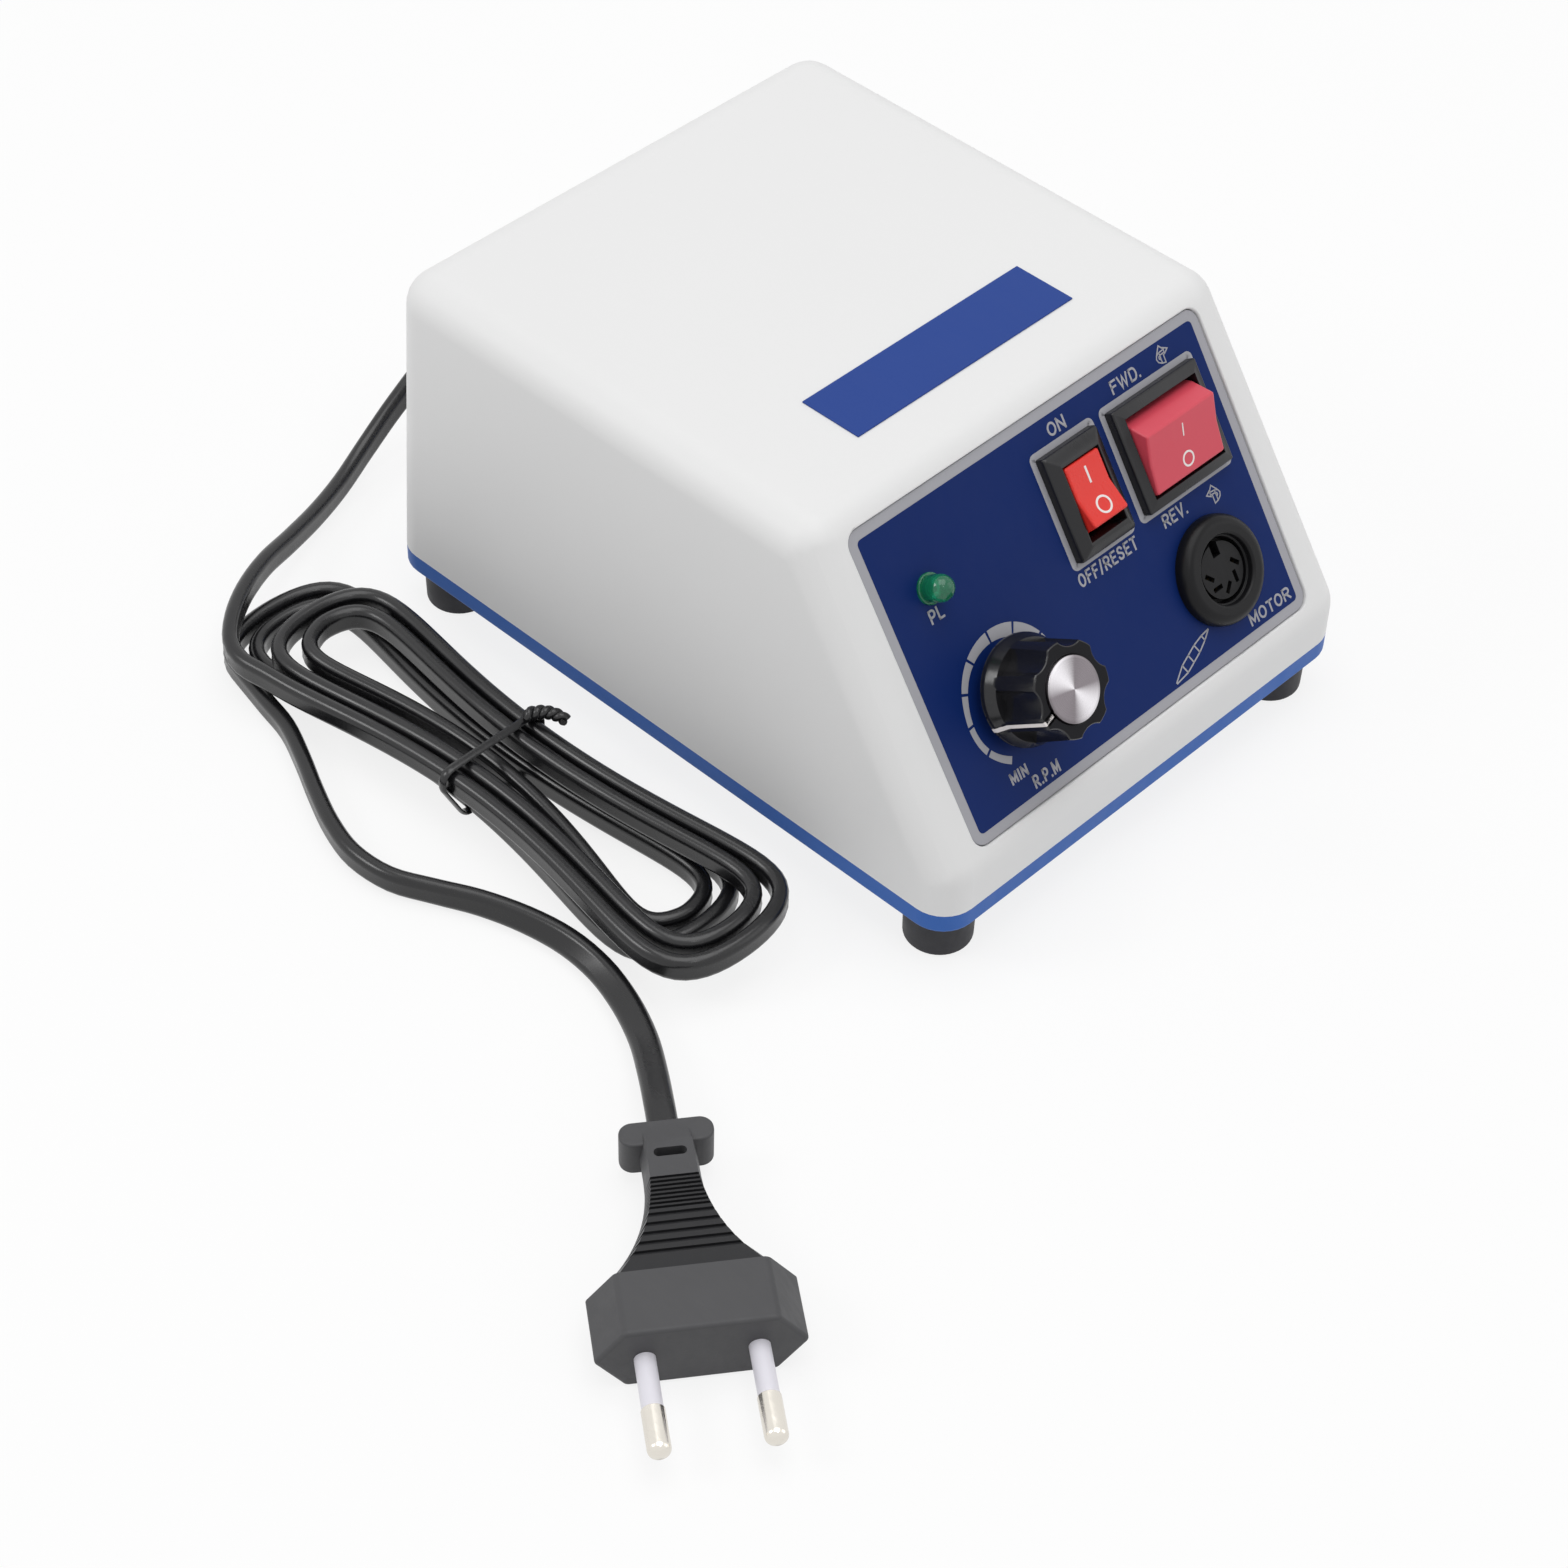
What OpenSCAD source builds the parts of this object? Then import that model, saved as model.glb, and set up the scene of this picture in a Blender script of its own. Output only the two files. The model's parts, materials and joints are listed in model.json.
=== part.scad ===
// Bench control unit of a dental lab micromotor, with its mains cord.
// Millimetres, +Z up, the sloping panel faces -Y, the floor is z = 0.

/* [Case] */
// Width of the case at its seam
case_w = 113; // [108:1:124]
// Depth of the case at its seam
case_d = 146.5; // [142:0.5:160]
// Height of the top face above the floor
case_h = 79.5; // [78:0.5:88]
// Thickness of the moulded walls
wall = 2.5; // [2.2:0.1:3]
// Radius of the case's corners and edges
edge_r = 7; // [6:0.25:7.5]
// How far each side leans in at the top
side_draft = 1.1; // [0.5:0.1:2]
// How far the back leans in at the top
back_draft = 3.1; // [2:0.1:4]
// Straight height of the front lip above the seam
lip_h = 6.6; // [6:0.1:8]
// Angle of the sloping front from the floor
slope = 55.75; // [54:0.25:58]
// Radius of the screw posts inside the cover
post_r = 3.5; // [3:0.1:4]

/* [Base] */
// Height of the blue band below the seam
tray_h = 4.3; // [3.6:0.1:6]
// Thickness of the base's floor
tray_floor = 2.5; // [2:0.1:3]
// Radius of the base's lower edge
tray_edge_r = 0.8; // [0.5:0.1:1.5]
// Height of the rim that centres the cover, above the seam
rim_rise = 3; // [2:0.1:4]
// Thickness of that rim
rim_t = 1.4; // [1:0.1:1.8]
// Play between the rim and the cover
rim_gap = 0.3; // [0.2:0.05:0.5]
// Height of the rubber feet
foot_h = 9.7; // [9:0.1:14]
// Radius of a foot at the base
foot_r = 6.7; // [6:0.1:7.5]
// Radius of a foot at the floor
foot_tip_r = 6.5; // [5.5:0.1:7]
// Distance from the case's edges to a foot's axis
foot_inset = 9; // [8.5:0.1:12]
// Radius of the case screws
screw_r = 1.5; // [1.25:0.05:1.75]
// Radius of the case screws' heads
screw_head_r = 3; // [2.6:0.1:3.3]
// Height of the case screws' heads
screw_head_h = 2.2; // [1.8:0.1:2.6]
// Depth of the screw recess in a foot
foot_recess = 6; // [5:0.1:7]
// How far a case screw bites into its post
screw_bite = 11; // [8:0.5:12]

/* [Front panel] */
// Width of the panel plate
panel_w = 93.4; // [90:0.2:97]
// Length of the panel plate along the slope
panel_l = 62; // [60:0.2:62.4]
// Thickness of the panel plate
panel_t = 1; // [0.8:0.1:1.2]
// Radius of the panel's corners
panel_corner = 3; // [1.5:0.25:4]
// How far the plate lies below the slope
panel_sink = 0.5; // [0.3:0.1:0.7]
// Play round the plate in its pocket
panel_gap = 0.15; // [0.1:0.05:0.3]
// From the lower bend of the slope to the panel's zero line
panel_rise = 3; // [2.8:0.1:3.2]
// From the zero line down to the plate's lower edge
panel_drop = 2.2; // [2:0.1:2.4]
// Length of the bare strip on the top face
label_w = 57; // [40:1:70]
// Width of the strip
label_d = 13.6; // [10:0.2:18]
// Thickness of the strip
label_t = 0.3; // [0.2:0.1:0.5]
// Place of the strip's centre behind the case's middle
label_y = -15.7; // [-18:0.1:0]

/* [Power switch] */
// Place across the panel
power_u = 5.6; // [4:0.1:7]
// Place up the panel
power_v = 41.5; // [40:0.1:43]
// Width of the bezel
power_bezel_w = 14.6; // [14.2:0.1:15.5]
// Length of the bezel
power_bezel_l = 20.6; // [20.2:0.1:22]
// Height of the bezel
power_bezel_h = 3.4; // [3:0.1:3.8]
// Width of the rocker
power_rocker_w = 9.1; // [8.5:0.1:9.3]
// Half length of the rocker at its top
power_rocker_half = 6; // [5.8:0.05:6.1]
// Lean of the rocker either way from its middle
power_tilt = 10; // [8:0.5:11]

/* [Direction switch] */
// Place across the panel
direction_u = 28.9; // [28:0.1:30]
// Place up the panel
direction_v = 41.5; // [40:0.1:43]
// Width of the bezel
direction_bezel_w = 23.6; // [23.4:0.1:25]
// Length of the bezel
direction_bezel_l = 20.6; // [20.4:0.1:22]
// Height of the bezel
direction_bezel_h = 2.8; // [2.6:0.1:3.2]
// Width of the rocker
direction_rocker_w = 19; // [18:0.1:19.2]
// Half length of the rocker at its ridges
direction_rocker_half = 5.95; // [5.8:0.05:6.05]
// Lean of the rocker either way from its middle
direction_tilt = 14; // [11:0.5:15]

/* [Switch parts] */
// How much smaller a switch body is than its bezel
body_inset = 0.9; // [0.7:0.05:1]
// Depth of a switch body behind the panel
body_d = 18; // [16:0.5:20]
// Depth of a rocker's axis below the panel
pivot_depth = 2; // [1.8:0.1:2.4]
// Radius of a rocker's pins
pivot_r = 1.2; // [1:0.05:1.4]
// How far a pin reaches into the body's cheek
pivot_reach = 1.2; // [1:0.05:1.3]
// Running play of the pins
pivot_play = 0.05; // [0.02:0.01:0.1]
// Play between a rocker and its opening
rocker_gap = 0.3; // [0.25:0.05:0.4]
// Play between a switch body and the panel
cutout_gap = 0.2; // [0.1:0.05:0.3]
// Length of the switch terminals
blade_l = 8; // [6:0.5:9]

/* [Pilot lamp] */
// Place across the panel
lamp_u = -34.1; // [-36:0.1:-32]
// Place up the panel
lamp_v = 43.3; // [42:0.1:46]
// Radius of the lamp
lamp_r = 2.5; // [2:0.1:3]
// How far the lamp stands out of the panel
lamp_rise = 5.7; // [5:0.1:7]
// Play round the lamp
lamp_gap = 0.1; // [0.05:0.05:0.2]

/* [Speed knob] */
// Place across the panel
knob_u = -25.6; // [-27:0.1:-25]
// Place up the panel
knob_v = 18.6; // [18:0.1:20]
// Height of the knob's top above the panel
knob_h = 15.6; // [14:0.1:18]
// Gap between the knob and the panel
knob_gap = 2.8; // [2.6:0.1:3.2]
// Radius of the knob's skirt
skirt_r = 10.3; // [10:0.1:11.5]
// Height of the skirt's straight rim
skirt_h = 1; // [0.6:0.1:1.4]
// Height where the skirt meets the grip
skirt_top = 6.2; // [5.8:0.1:6.8]
// Radius of the grip at its foot
grip_r = 9.3; // [9.1:0.1:9.9]
// Radius of the grip at its top
grip_top_r = 8.8; // [8.4:0.1:9]
// Number of lobes on the grip
lobes = 7; // [5:1:9]
// Radius of the grip at the bottom of a flute
flute_floor = 7.6; // [7.4:0.1:8]
// Radius of a flute's curve
flute_r = 4; // [3:0.1:5]
// Radius of the aluminium cap
cap_r = 6.1; // [5.5:0.1:6.4]
// Thickness of the cap
cap_t = 1.2; // [1:0.1:1.5]
// Depth of the cap's seat
cap_seat = 0.7; // [0.5:0.1:0.9]
// Width of the white pointer
pointer_w = 0.9; // [0.6:0.1:1.2]
// Depth of the pointer's groove
pointer_d = 0.5; // [0.3:0.1:0.6]
// Direction of the pointer at rest, from the right
pointer_at = 196; // [150:1:230]
// Radius of the brass bush
bush_r = 4.6; // [4.2:0.1:5]
// Height where the bush ends, above the panel
bush_top = 13; // [12.5:0.1:13.5]

/* [Potentiometer] */
// Radius of the shaft
shaft_r = 3; // [2.8:0.05:3.05]
// Running play of the shaft
shaft_play = 0.05; // [0.02:0.01:0.1]
// Radius of the threaded bushing
bushing_r = 3.5; // [3.4:0.05:3.8]
// How far the bushing stands out of the panel
bushing_rise = 5; // [4:0.1:5.5]
// Radius of the potentiometer's body
pot_r = 8.2; // [7.5:0.1:9]
// Depth of the potentiometer's body
pot_d = 9; // [8:0.1:11]

/* [Motor socket] */
// Place across the panel
socket_u = 28.5; // [27:0.1:30]
// Place up the panel
socket_v = 14.3; // [14:0.1:15.5]
// Radius of the collar
collar_r = 10.5; // [10:0.1:11]
// Height of the collar
collar_h = 3.2; // [2.8:0.1:4]
// Radius of the plug opening
socket_bore = 6.6; // [6.5:0.05:6.9]
// Depth of the groove round the insert, below the panel
socket_sink = 1; // [0.8:0.1:1.5]
// Radius of the barrel behind the panel
barrel_r = 7.8; // [7.6:0.05:8]
// Length of the barrel behind the panel
barrel_l = 14; // [12:0.5:15]
// Radius of the insulating insert
insert_r = 6.2; // [6:0.05:6.3]
// Radius of the insert's core inside the groove
insert_core_r = 5.4; // [5.2:0.05:5.6]
// How far the insert's face lies below the collar's
insert_drop = 1.6; // [1.2:0.1:2]
// Radius of the circle of contacts
contact_ring = 3.6; // [3.4:0.1:4]

/* [Transformer] */
// Width of the core
core_w = 57; // [54:1:60]
// Height of the core
core_h = 48; // [42:1:50]
// Thickness of the core
core_t = 24; // [20:1:26]
// Thickness of the strap
strap_t = 1.2; // [1:0.1:1.6]

/* [Control board] */
// Width of the board
board_w = 84; // [82:1:90]
// Depth of the board
board_d = 44; // [44:1:46]
// Thickness of the board
board_t = 1.6; // [1.2:0.1:2]
// Height of the standoffs
standoff_h = 6; // [5:0.5:7]
// Radius of the reservoir capacitor
capacitor_r = 9; // [8:0.5:10]
// Height of the reservoir capacitor
capacitor_h = 32; // [25:1:36]

/* [Mains plug] */
// Width of the plug
plug_w = 35.3; // [34.6:0.1:36]
// Height of the plug
plug_h = 13.7; // [13:0.1:14.4]
// Length of the wide part
plug_block = 12.5; // [11:0.5:14]
// Length of the plug from its face to its collar's back
plug_l = 46; // [44:0.5:50]
// Distance between the pins
pin_pitch = 18.6; // [18:0.1:19.2]
// Radius of the pins
pin_r = 2; // [1.95:0.01:2.05]
// Length of the pins
pin_l = 19; // [18:0.5:19.5]
// Length of the pins' sleeves
sleeve_l = 10; // [9:0.5:11]
// Radius of the pins' sleeves
sleeve_r = 1.8; // [1.7:0.01:1.84]
// Wall of the pins' sleeves
sleeve_t = 0.4; // [0.3:0.05:0.6]

/* [Mains cord] */
// Width of the flat cord
cord_w = 5.4; // [5:0.1:5.4]
// Thickness of the flat cord
cord_t = 3.2; // [2.8:0.1:3.2]

/* [Hidden] */
$fn = 64;

// Play of screws, bushes and inlays in their seats
fit_gap = 0.02;
// Play of a screw in the piece that it clamps
screw_gap = 0.2;
// Play of a screw's head in its recess
head_gap = 0.3;
// How far a cut runs past the face that it opens
over = 1;
// Sides of a round corner inside a hull
hull_fn = 32;

// The case stands this far back, so that the origin is under the middle of its reach
case_y = 2.3;
seam_z = foot_h + tray_h;
// Straight start of the back wall above the seam
seam_step = 0.1;
floor_z = foot_h + tray_floor;
front_y = -case_d / 2;
back_y = case_d / 2;
corner_x = case_w / 2 - edge_r;
foot_places = [for (x = [-1, 1], y = [-1, 1])
    [x * (case_w / 2 - foot_inset), y * (case_d / 2 - foot_inset)]];

// The slope touches a dome of edge_r at its lower bend and one at the top
slope_n = [0, -sin(slope), cos(slope)];
slope_v = [0, cos(slope), sin(slope)];
low_dome = [0, front_y + edge_r, seam_z + lip_h];
top_dome_z = case_h - edge_r;
top_dome_y = low_dome[1] + (top_dome_z - low_dome[2]) / tan(slope);
panel_zero = low_dome + (edge_r - panel_sink) * slope_n + panel_rise * slope_v;
// Depth of the wall's inner face behind the panel's face
behind = wall - panel_sink;

// Switch sizes that follow from the bezels and the rockers
function body_size(bezel_w, bezel_l) = [bezel_w - 2 * body_inset, bezel_l - 2 * body_inset];
power_body = body_size(power_bezel_w, power_bezel_l);
direction_body = body_size(direction_bezel_w, direction_bezel_l);
// Switch terminals: section and places on the switches' backs
blade_w = 4.8;
blade_t = 0.8;
power_blades = [[0, -5], [0, 2]];
direction_blades = [for (x = [-5, 5], y = [-6, 0, 6]) [x, y]];
// Upright edge of a bezel and the run of its slanted sides
bezel_edge = 2;
bezel_run = 2.1;
// A rocker's side runs down to this far below its axis
rocker_keel = 1.5;
// Height of the power rocker's dip above its axis
power_dip = 5.6;
// Height of the direction rocker's ridges and dip above its axis
direction_ridge = 6.9;
direction_dip = 6.4;
// Shoulder of the direction rocker, outwards from the ridge and above the axis
direction_shoulder = [1.55, 2];
function turned_reach(p, a) = p[0] * cos(a) + p[1] * sin(a);
power_profile = [
    [power_rocker_half, power_dip + power_rocker_half * tan(power_tilt)],
    [power_rocker_half + 0.9, 0],
    [power_rocker_half - 1, -rocker_keel]
];
direction_profile = [
    [direction_rocker_half, direction_ridge],
    [direction_rocker_half + direction_shoulder[0], direction_shoulder[1]],
    [direction_rocker_half + direction_shoulder[0], 0],
    [direction_rocker_half - 0.5, -rocker_keel]
];
function opening_half(profile, a) =
    max([for (p = profile, s = [-a, a]) turned_reach(p, s)]) + rocker_gap;
power_open = [power_rocker_w + 2 * rocker_gap, 2 * opening_half(power_profile, power_tilt)];
direction_open = [
    direction_rocker_w + 2 * rocker_gap, 2 * opening_half(direction_profile, direction_tilt)
];
opening_d = pivot_depth + rocker_keel + direction_rocker_half * sin(direction_tilt) + 1;

// Flange behind the lamp, and its two legs
lamp_flange = 0.4;
lamp_flange_t = 1;
lead_t = 0.5;
lead_l = 12;
lead_pitch = 2.54;

// Knob and potentiometer
flute_sink = 0.2;
knob_well_r = 7;
knob_well_top = bushing_rise + 0.8;
shaft_top = bush_top - 0.6;
shaft_foot = behind + pot_d - 2;
nut_t = 2;
washer_t = 0.5;
nut_r = 5.2;
pot_blade = [1.5, 5, 0.6];
pot_blade_pitch = 5;
grub_r = 1.5;
grub_h = (knob_well_top + bush_top) / 2;

// Motor socket: chamfer of its mouth, rounding of its collar, and what it holds
mouth = 0.4;
collar_round = 2.2;
insert_t = 7;
contact_r = 0.75;
contact_hole_r = 0.95;
contact_flange_t = 0.6;
contact_tail = 9;
insert_face = collar_h - insert_drop;
insert_rise = socket_sink + insert_face;
contact_drop = 2;
key_w = 2;
key_l = 2.6;
key_d = 2;
slot_l = 2.4;
slot_w = 0.9;
slot_d = 1.2;
slot_twist = -45;
socket_nut_t = 2.5;
socket_nut_r = 11.4;

// Transformer
core_at = [-8, 32];
leg_w = core_w / 3;
window_w = leg_w / 2;
window_h = core_h - leg_w;
winding_gap = 0.2;
strap_w = 16;
strap_foot = 11;
strap_screw_r = 1.6;
strap_head = [3, 2];

// Control board, with places counted from its middle
board_at = [0, -18];
board_z = floor_z + standoff_h;
parts_z = board_z + board_t;
board_hole_inset = 4;
board_places = [for (x = [-1, 1], y = [-1, 1])
    board_at + [x * (board_w / 2 - board_hole_inset), y * (board_d / 2 - board_hole_inset)]];
board_screw_r = 1.25;
board_head = [2.4, 1.6];
standoff_r = 3;
capacitor_at = board_at + [capacitor_r + 5 - board_w / 2, board_d / 2 - capacitor_r - 4];
can_edge = 0.6;
bridge_at = board_at + [-6, 11];
bridge_size = [15, 5, 15];
sink_size = [24, 3, 26];
sink_at = board_at + [board_w / 2 - 7 - sink_size[0] / 2, board_d / 2 - 7];
sink_fins = 5;
sink_fin = [1.4, 6];
transistor_size = [10, 4.5, 15];
transistor_rise = 6;
transistor_leg = [0.8, 0.5];
transistor_leg_pitch = 2.54;
fuse_at = board_at + [4, -15];
fuse_l = 20;
fuse_r = 2.6;
fuse_rise = 4.5;
clip_w = 5;
clip_t = 0.6;
clip_rise = 1.5;
clip_inset = 3;
block_size = [20, 9, 10];
block_ways = 4;
block_hole = [1.7, 3];
block_at = board_at + [2 * board_hole_inset + block_size[0] / 2 - board_w / 2, 7 - board_d / 2];

// Cord gland in the back wall
gland_x = 8;
gland_z = 26;
gland_seat_y = back_y - 1.05;
gland_r = 5;
gland_flange_r = 7;
gland_flange_t = 2.5;
gland_stub = 3;
gland_bend_r = 25;
gland_bend = 36.87;
gland_core_r = 3.4;
gland_ribs = 6;
gland_rib_t = 1.7;
gland_rib_r = 4.8;
gland_rib_taper = 1;
gland_gap = 0.1;

// Plug: its collar's back, its direction and its outline
plug_at = [-120, -65, plug_h / 2];
plug_turn = 233.13;
plug_flat_w = 25;
plug_neck_w = 9.8;
plug_neck_h = 9;
plug_lip = 0.8;
plug_bevel = 0.9;
plug_join = 0.1;
plug_collar = [16.2, 7.4, 5.2];
plug_neck_l = 5;
plug_slot = [1.8, 5.6];
pin_core_r = sleeve_r - sleeve_t;
// Rounding of the pins' tips
tip_r = 1.4;
pin_seat = plug_block - 2;
sleeve_seat = plug_block - 4;
rib_count = 8;
rib_step = 0.95;
step_count = 6;
step_pitch = 2;
groove_d = 0.5;
// The flanks curve from the neck to the block on one arc
plug_flare_at = plug_collar[2] + plug_neck_l;
plug_flare_run = plug_l - plug_block - plug_flare_at;
plug_flare_rise = (plug_w - plug_neck_w) / 2 - plug_join;
plug_flare_r = (pow(plug_flare_run, 2) + pow(plug_flare_rise, 2)) / (2 * plug_flare_rise);
function neck_flank(x) =
    let (run = min(plug_flare_run, max(0, x - plug_flare_at)))
    plug_neck_w / 2 + plug_flare_r - sqrt(pow(plug_flare_r, 2) - pow(run, 2));
// The top face is narrower than the flanks, and as wide as the block's flat where it meets the block
function neck_crown(x) =
    let (
        first = plug_neck_w / 2 - plug_bevel,
        last = plug_flat_w / 2 - plug_join
    ) first + (last - first) * (neck_flank(x) - plug_neck_w / 2) / plug_flare_rise;
// The neck's top rises through the collar, and from the first rib to just below the block, with a groove
// between ribs
neck_from = 0.4;
neck_to = plug_l - plug_block + 0.5;
neck_start_h = 6.6;
rib_from = plug_flare_at + 2.4;
rib_slant = 0.03;
step_from = rib_from + rib_count * rib_step;
function neck_half(x) =
    let (rise = (plug_h - plug_neck_h) / 2 - plug_lip)
    plug_neck_h / 2 + rise * max(0, (x - rib_from) / (neck_to - rib_from));
grooves = concat(
    [for (i = [0:rib_count - 1]) [rib_from + (i + 0.25) * rib_step, rib_from + (i + 0.75) * rib_step]],
    [for (i = [0:step_count - 2]) [step_from + (i + 0.3) * step_pitch, step_from + (i + 0.7) * step_pitch]]
);
neck_top = concat(
    [
        [neck_from, neck_start_h / 2], [plug_collar[2] - neck_from, neck_half(0)],
        [plug_flare_at, neck_half(0)]
    ],
    [for (g = grooves) each [
        [g[0] - rib_slant, neck_half(g[0])], [g[0] + rib_slant, neck_half(g[0]) - groove_d],
        [g[1] - rib_slant, neck_half(g[1]) - groove_d], [g[1] + rib_slant, neck_half(g[1])]
    ]],
    [[neck_to, neck_half(neck_to)]]
);

// Hank of four loops in two layers
hank_loops = 4;
hank_rings = 24;
hank_mid = [-80, 20];
hank_half = 62;
hank_end_w = 17.5;
hank_waist_w = 11;
hank_step = 4;
hank_waist_step = 3.7;
hank_round = 0.25;
hank_stagger = 5;
hank_low = 3;
hank_layer = 6.3;
hank_lift = 1;
hank_from = 50;
hank_to = 360 * hank_loops + 38;
// The change of layer, on the run where the loops turn from stepping in to stepping out
climb_from = 720;
climb_to = 900;
climb_dodge = 0.7;

// Wire tie round the hank's waist
tie_w = 2.4;
tie_t = 0.7;
tie_gap = 0.5;
tie_shift = -1.1;
tie_r = 2;
tie_knot_r = 1.7;
tie_knot_l = 9;

// Route of the lead, from the gland to the hank's upper layer
lead_points = [
    [3, 95, 26], [-0.6, 99.8, 26], [-7, 105, 23.5], [-16, 108.5, 18], [-26, 109, 11.5],
    [-36, 107.5, 6.5], [-46, 104, 4.5], [-56, 100, 4.9], [-66, 96, 6.6], [-75.5, 92.2, 8.6],
    [-84, 87.8, 9.6], [-91, 82.8, 9.9], [-95.8, 77.6, 9.7]
];
// Route of the tail, from the hank's lower layer to the plug
tail_points = [
    [-99, 58, 3], [-102.5, 49.5, 3], [-106.5, 41, 3], [-110, 32.5, 3], [-112, 24, 3],
    [-111.2, 15, 3], [-107.5, 7, 3], [-103.5, -1, 3], [-100.5, -10, 3], [-99, -19, 3],
    [-99.5, -28, 3], [-102, -37, 3.2], [-106, -45.5, 4], [-111.2, -53.2, 5.6],
    [-116.4, -60.2, plug_h / 2], [-120, -65, plug_h / 2]
];

// Places and shapes that several pieces share
module in_case() { translate([0, case_y, 0]) children(); }
module on_panel(u, v) {
    in_case() translate(panel_zero) rotate([slope, 0, 0]) translate([u, v, 0]) children();
}
module along_x() { rotate([90, 0, 90]) children(); }
module ring(r_out, r_in, h) {
    difference() {
        cylinder(r = r_out, h = h);
        translate([0, 0, -over]) cylinder(r = r_in, h = h + 2 * over);
    }
}
module rounded_plate(w, l, h, r) {
    linear_extrude(h) union() {
        square([w - 2 * r, l], center = true);
        square([w, l - 2 * r], center = true);
        for (x = [-1, 1], y = [-1, 1]) translate([x * (w / 2 - r), y * (l / 2 - r)]) circle(r);
    }
}
module box_at(size, at) { translate([at[0] - size[0] / 2, at[1] - size[1] / 2, at[2]]) cube(size); }
module screw(r, l, head_r, head_h) {
    translate([0, 0, -head_h]) cylinder(r = head_r, h = head_h);
    cylinder(r = r, h = l);
}

// Case
module dome(r) {
    rotate_extrude($fn = hull_fn) intersection() {
        circle(r, $fn = hull_fn);
        square([r, r]);
    }
}
module case_form(inset, drop) {
    r = edge_r - inset;
    hull() for (x = [-1, 1]) {
        translate([x * corner_x, low_dome[1], seam_z - drop])
            cylinder(r = r, h = lip_h + drop, $fn = hull_fn);
        translate([x * corner_x, low_dome[1], low_dome[2]]) dome(r);
        translate([x * corner_x, back_y - edge_r, seam_z - drop])
            cylinder(r = r, h = drop + seam_step, $fn = hull_fn);
        translate([x * (corner_x - side_draft), top_dome_y, top_dome_z]) dome(r);
        translate([x * (corner_x - side_draft), back_y - edge_r - back_draft, top_dome_z]) dome(r);
    }
}
module panel_cuts(depth) {
    module cut_box(u, v, size) {
        on_panel(u, v)
            box_at([size[0] + 2 * cutout_gap, size[1] + 2 * cutout_gap, depth + over], [0, 0, -depth]);
    }
    module cut_round(u, v, r) { on_panel(u, v) translate([0, 0, -depth]) cylinder(r = r, h = depth + over); }
    cut_box(power_u, power_v, power_body);
    cut_box(direction_u, direction_v, direction_body);
    cut_round(lamp_u, lamp_v, lamp_r + lamp_gap);
    cut_round(knob_u, knob_v, bushing_r + lamp_gap);
    cut_round(socket_u, socket_v, barrel_r + cutout_gap);
}
module on_gland() { in_case() translate([gland_x, gland_seat_y, gland_z]) rotate([-90, 0, 0]) children(); }
module upper_housing() {
    color("whitesmoke") difference() {
        in_case() difference() {
            case_form(0, 0);
            difference() {
                case_form(wall, over);
                for (p = foot_places) translate([p[0], p[1], 0]) cylinder(r = post_r, h = case_h);
            }
            for (p = foot_places)
                translate([p[0], p[1], seam_z - over])
                    cylinder(r = screw_r + fit_gap, h = screw_bite + 2 * over);
        }
        on_panel(0, panel_l / 2 - panel_drop) translate([0, 0, -panel_t]) rounded_plate(
            panel_w + 2 * panel_gap, panel_l + 2 * panel_gap, 2 * panel_t + panel_sink, panel_corner);
        panel_cuts(wall + over);
        on_gland() translate([0, 0, -wall - 2 * over])
            cylinder(r = gland_r + gland_gap, h = wall + 3 * over);
        on_gland() cylinder(r = gland_flange_r + gland_gap, h = 2 * over);
    }
}
module base_tray() {
    inner_w = case_w - 2 * wall;
    inner_d = case_d - 2 * wall;
    inner_r = edge_r - wall;
    module rim_plate(inset, h) {
        rounded_plate(inner_w - 2 * inset, inner_d - 2 * inset, h, max(0.5, inner_r - inset));
    }
    color("royalblue") in_case() difference() {
        union() {
            difference() {
                hull() for (x = [-1, 1], y = [-1, 1])
                    translate([x * corner_x, y * (back_y - edge_r), foot_h]) {
                        translate([0, 0, tray_edge_r]) {
                            cylinder(r = edge_r, h = tray_h - tray_edge_r, $fn = hull_fn);
                            rotate_extrude($fn = hull_fn) translate([edge_r - tray_edge_r, 0])
                                circle(tray_edge_r, $fn = hull_fn);
                        }
                    }
                translate([0, 0, floor_z]) rim_plate(rim_gap, tray_h);
                translate([0, 0, seam_z]) rim_plate(-2 * wall, tray_h);
            }
            translate([0, 0, floor_z]) difference() {
                rim_plate(rim_gap, seam_z + rim_rise - floor_z);
                translate([0, 0, -over])
                    rim_plate(rim_gap + rim_t, seam_z + rim_rise - floor_z + 2 * over);
            }
            for (p = foot_places) translate([p[0], p[1], foot_h + over])
                cylinder(r = post_r, h = tray_h - over);
        }
        for (p = foot_places) translate([p[0], p[1], foot_h - over])
            cylinder(r = screw_r + screw_gap, h = tray_h + 2 * over);
        for (p = strap_places()) translate([p[0], p[1], foot_h - over])
            cylinder(r = strap_screw_r + fit_gap, h = tray_h + over);
        for (p = board_places) translate([p[0], p[1], foot_h - over])
            cylinder(r = board_screw_r + fit_gap, h = tray_h + over);
    }
}
module rubber_feet() {
    color("dimgray") in_case() for (p = foot_places) translate([p[0], p[1], 0]) difference() {
        cylinder(r1 = foot_tip_r, r2 = foot_r, h = foot_h);
        translate([0, 0, -over]) cylinder(r = screw_head_r + head_gap, h = foot_recess + over);
        cylinder(r = screw_r + screw_gap, h = foot_h + over);
    }
}
module case_screws() {
    color("silver") in_case() for (p = foot_places) translate([p[0], p[1], foot_recess])
        screw(screw_r, seam_z + screw_bite - foot_recess, screw_head_r, screw_head_h);
}
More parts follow.
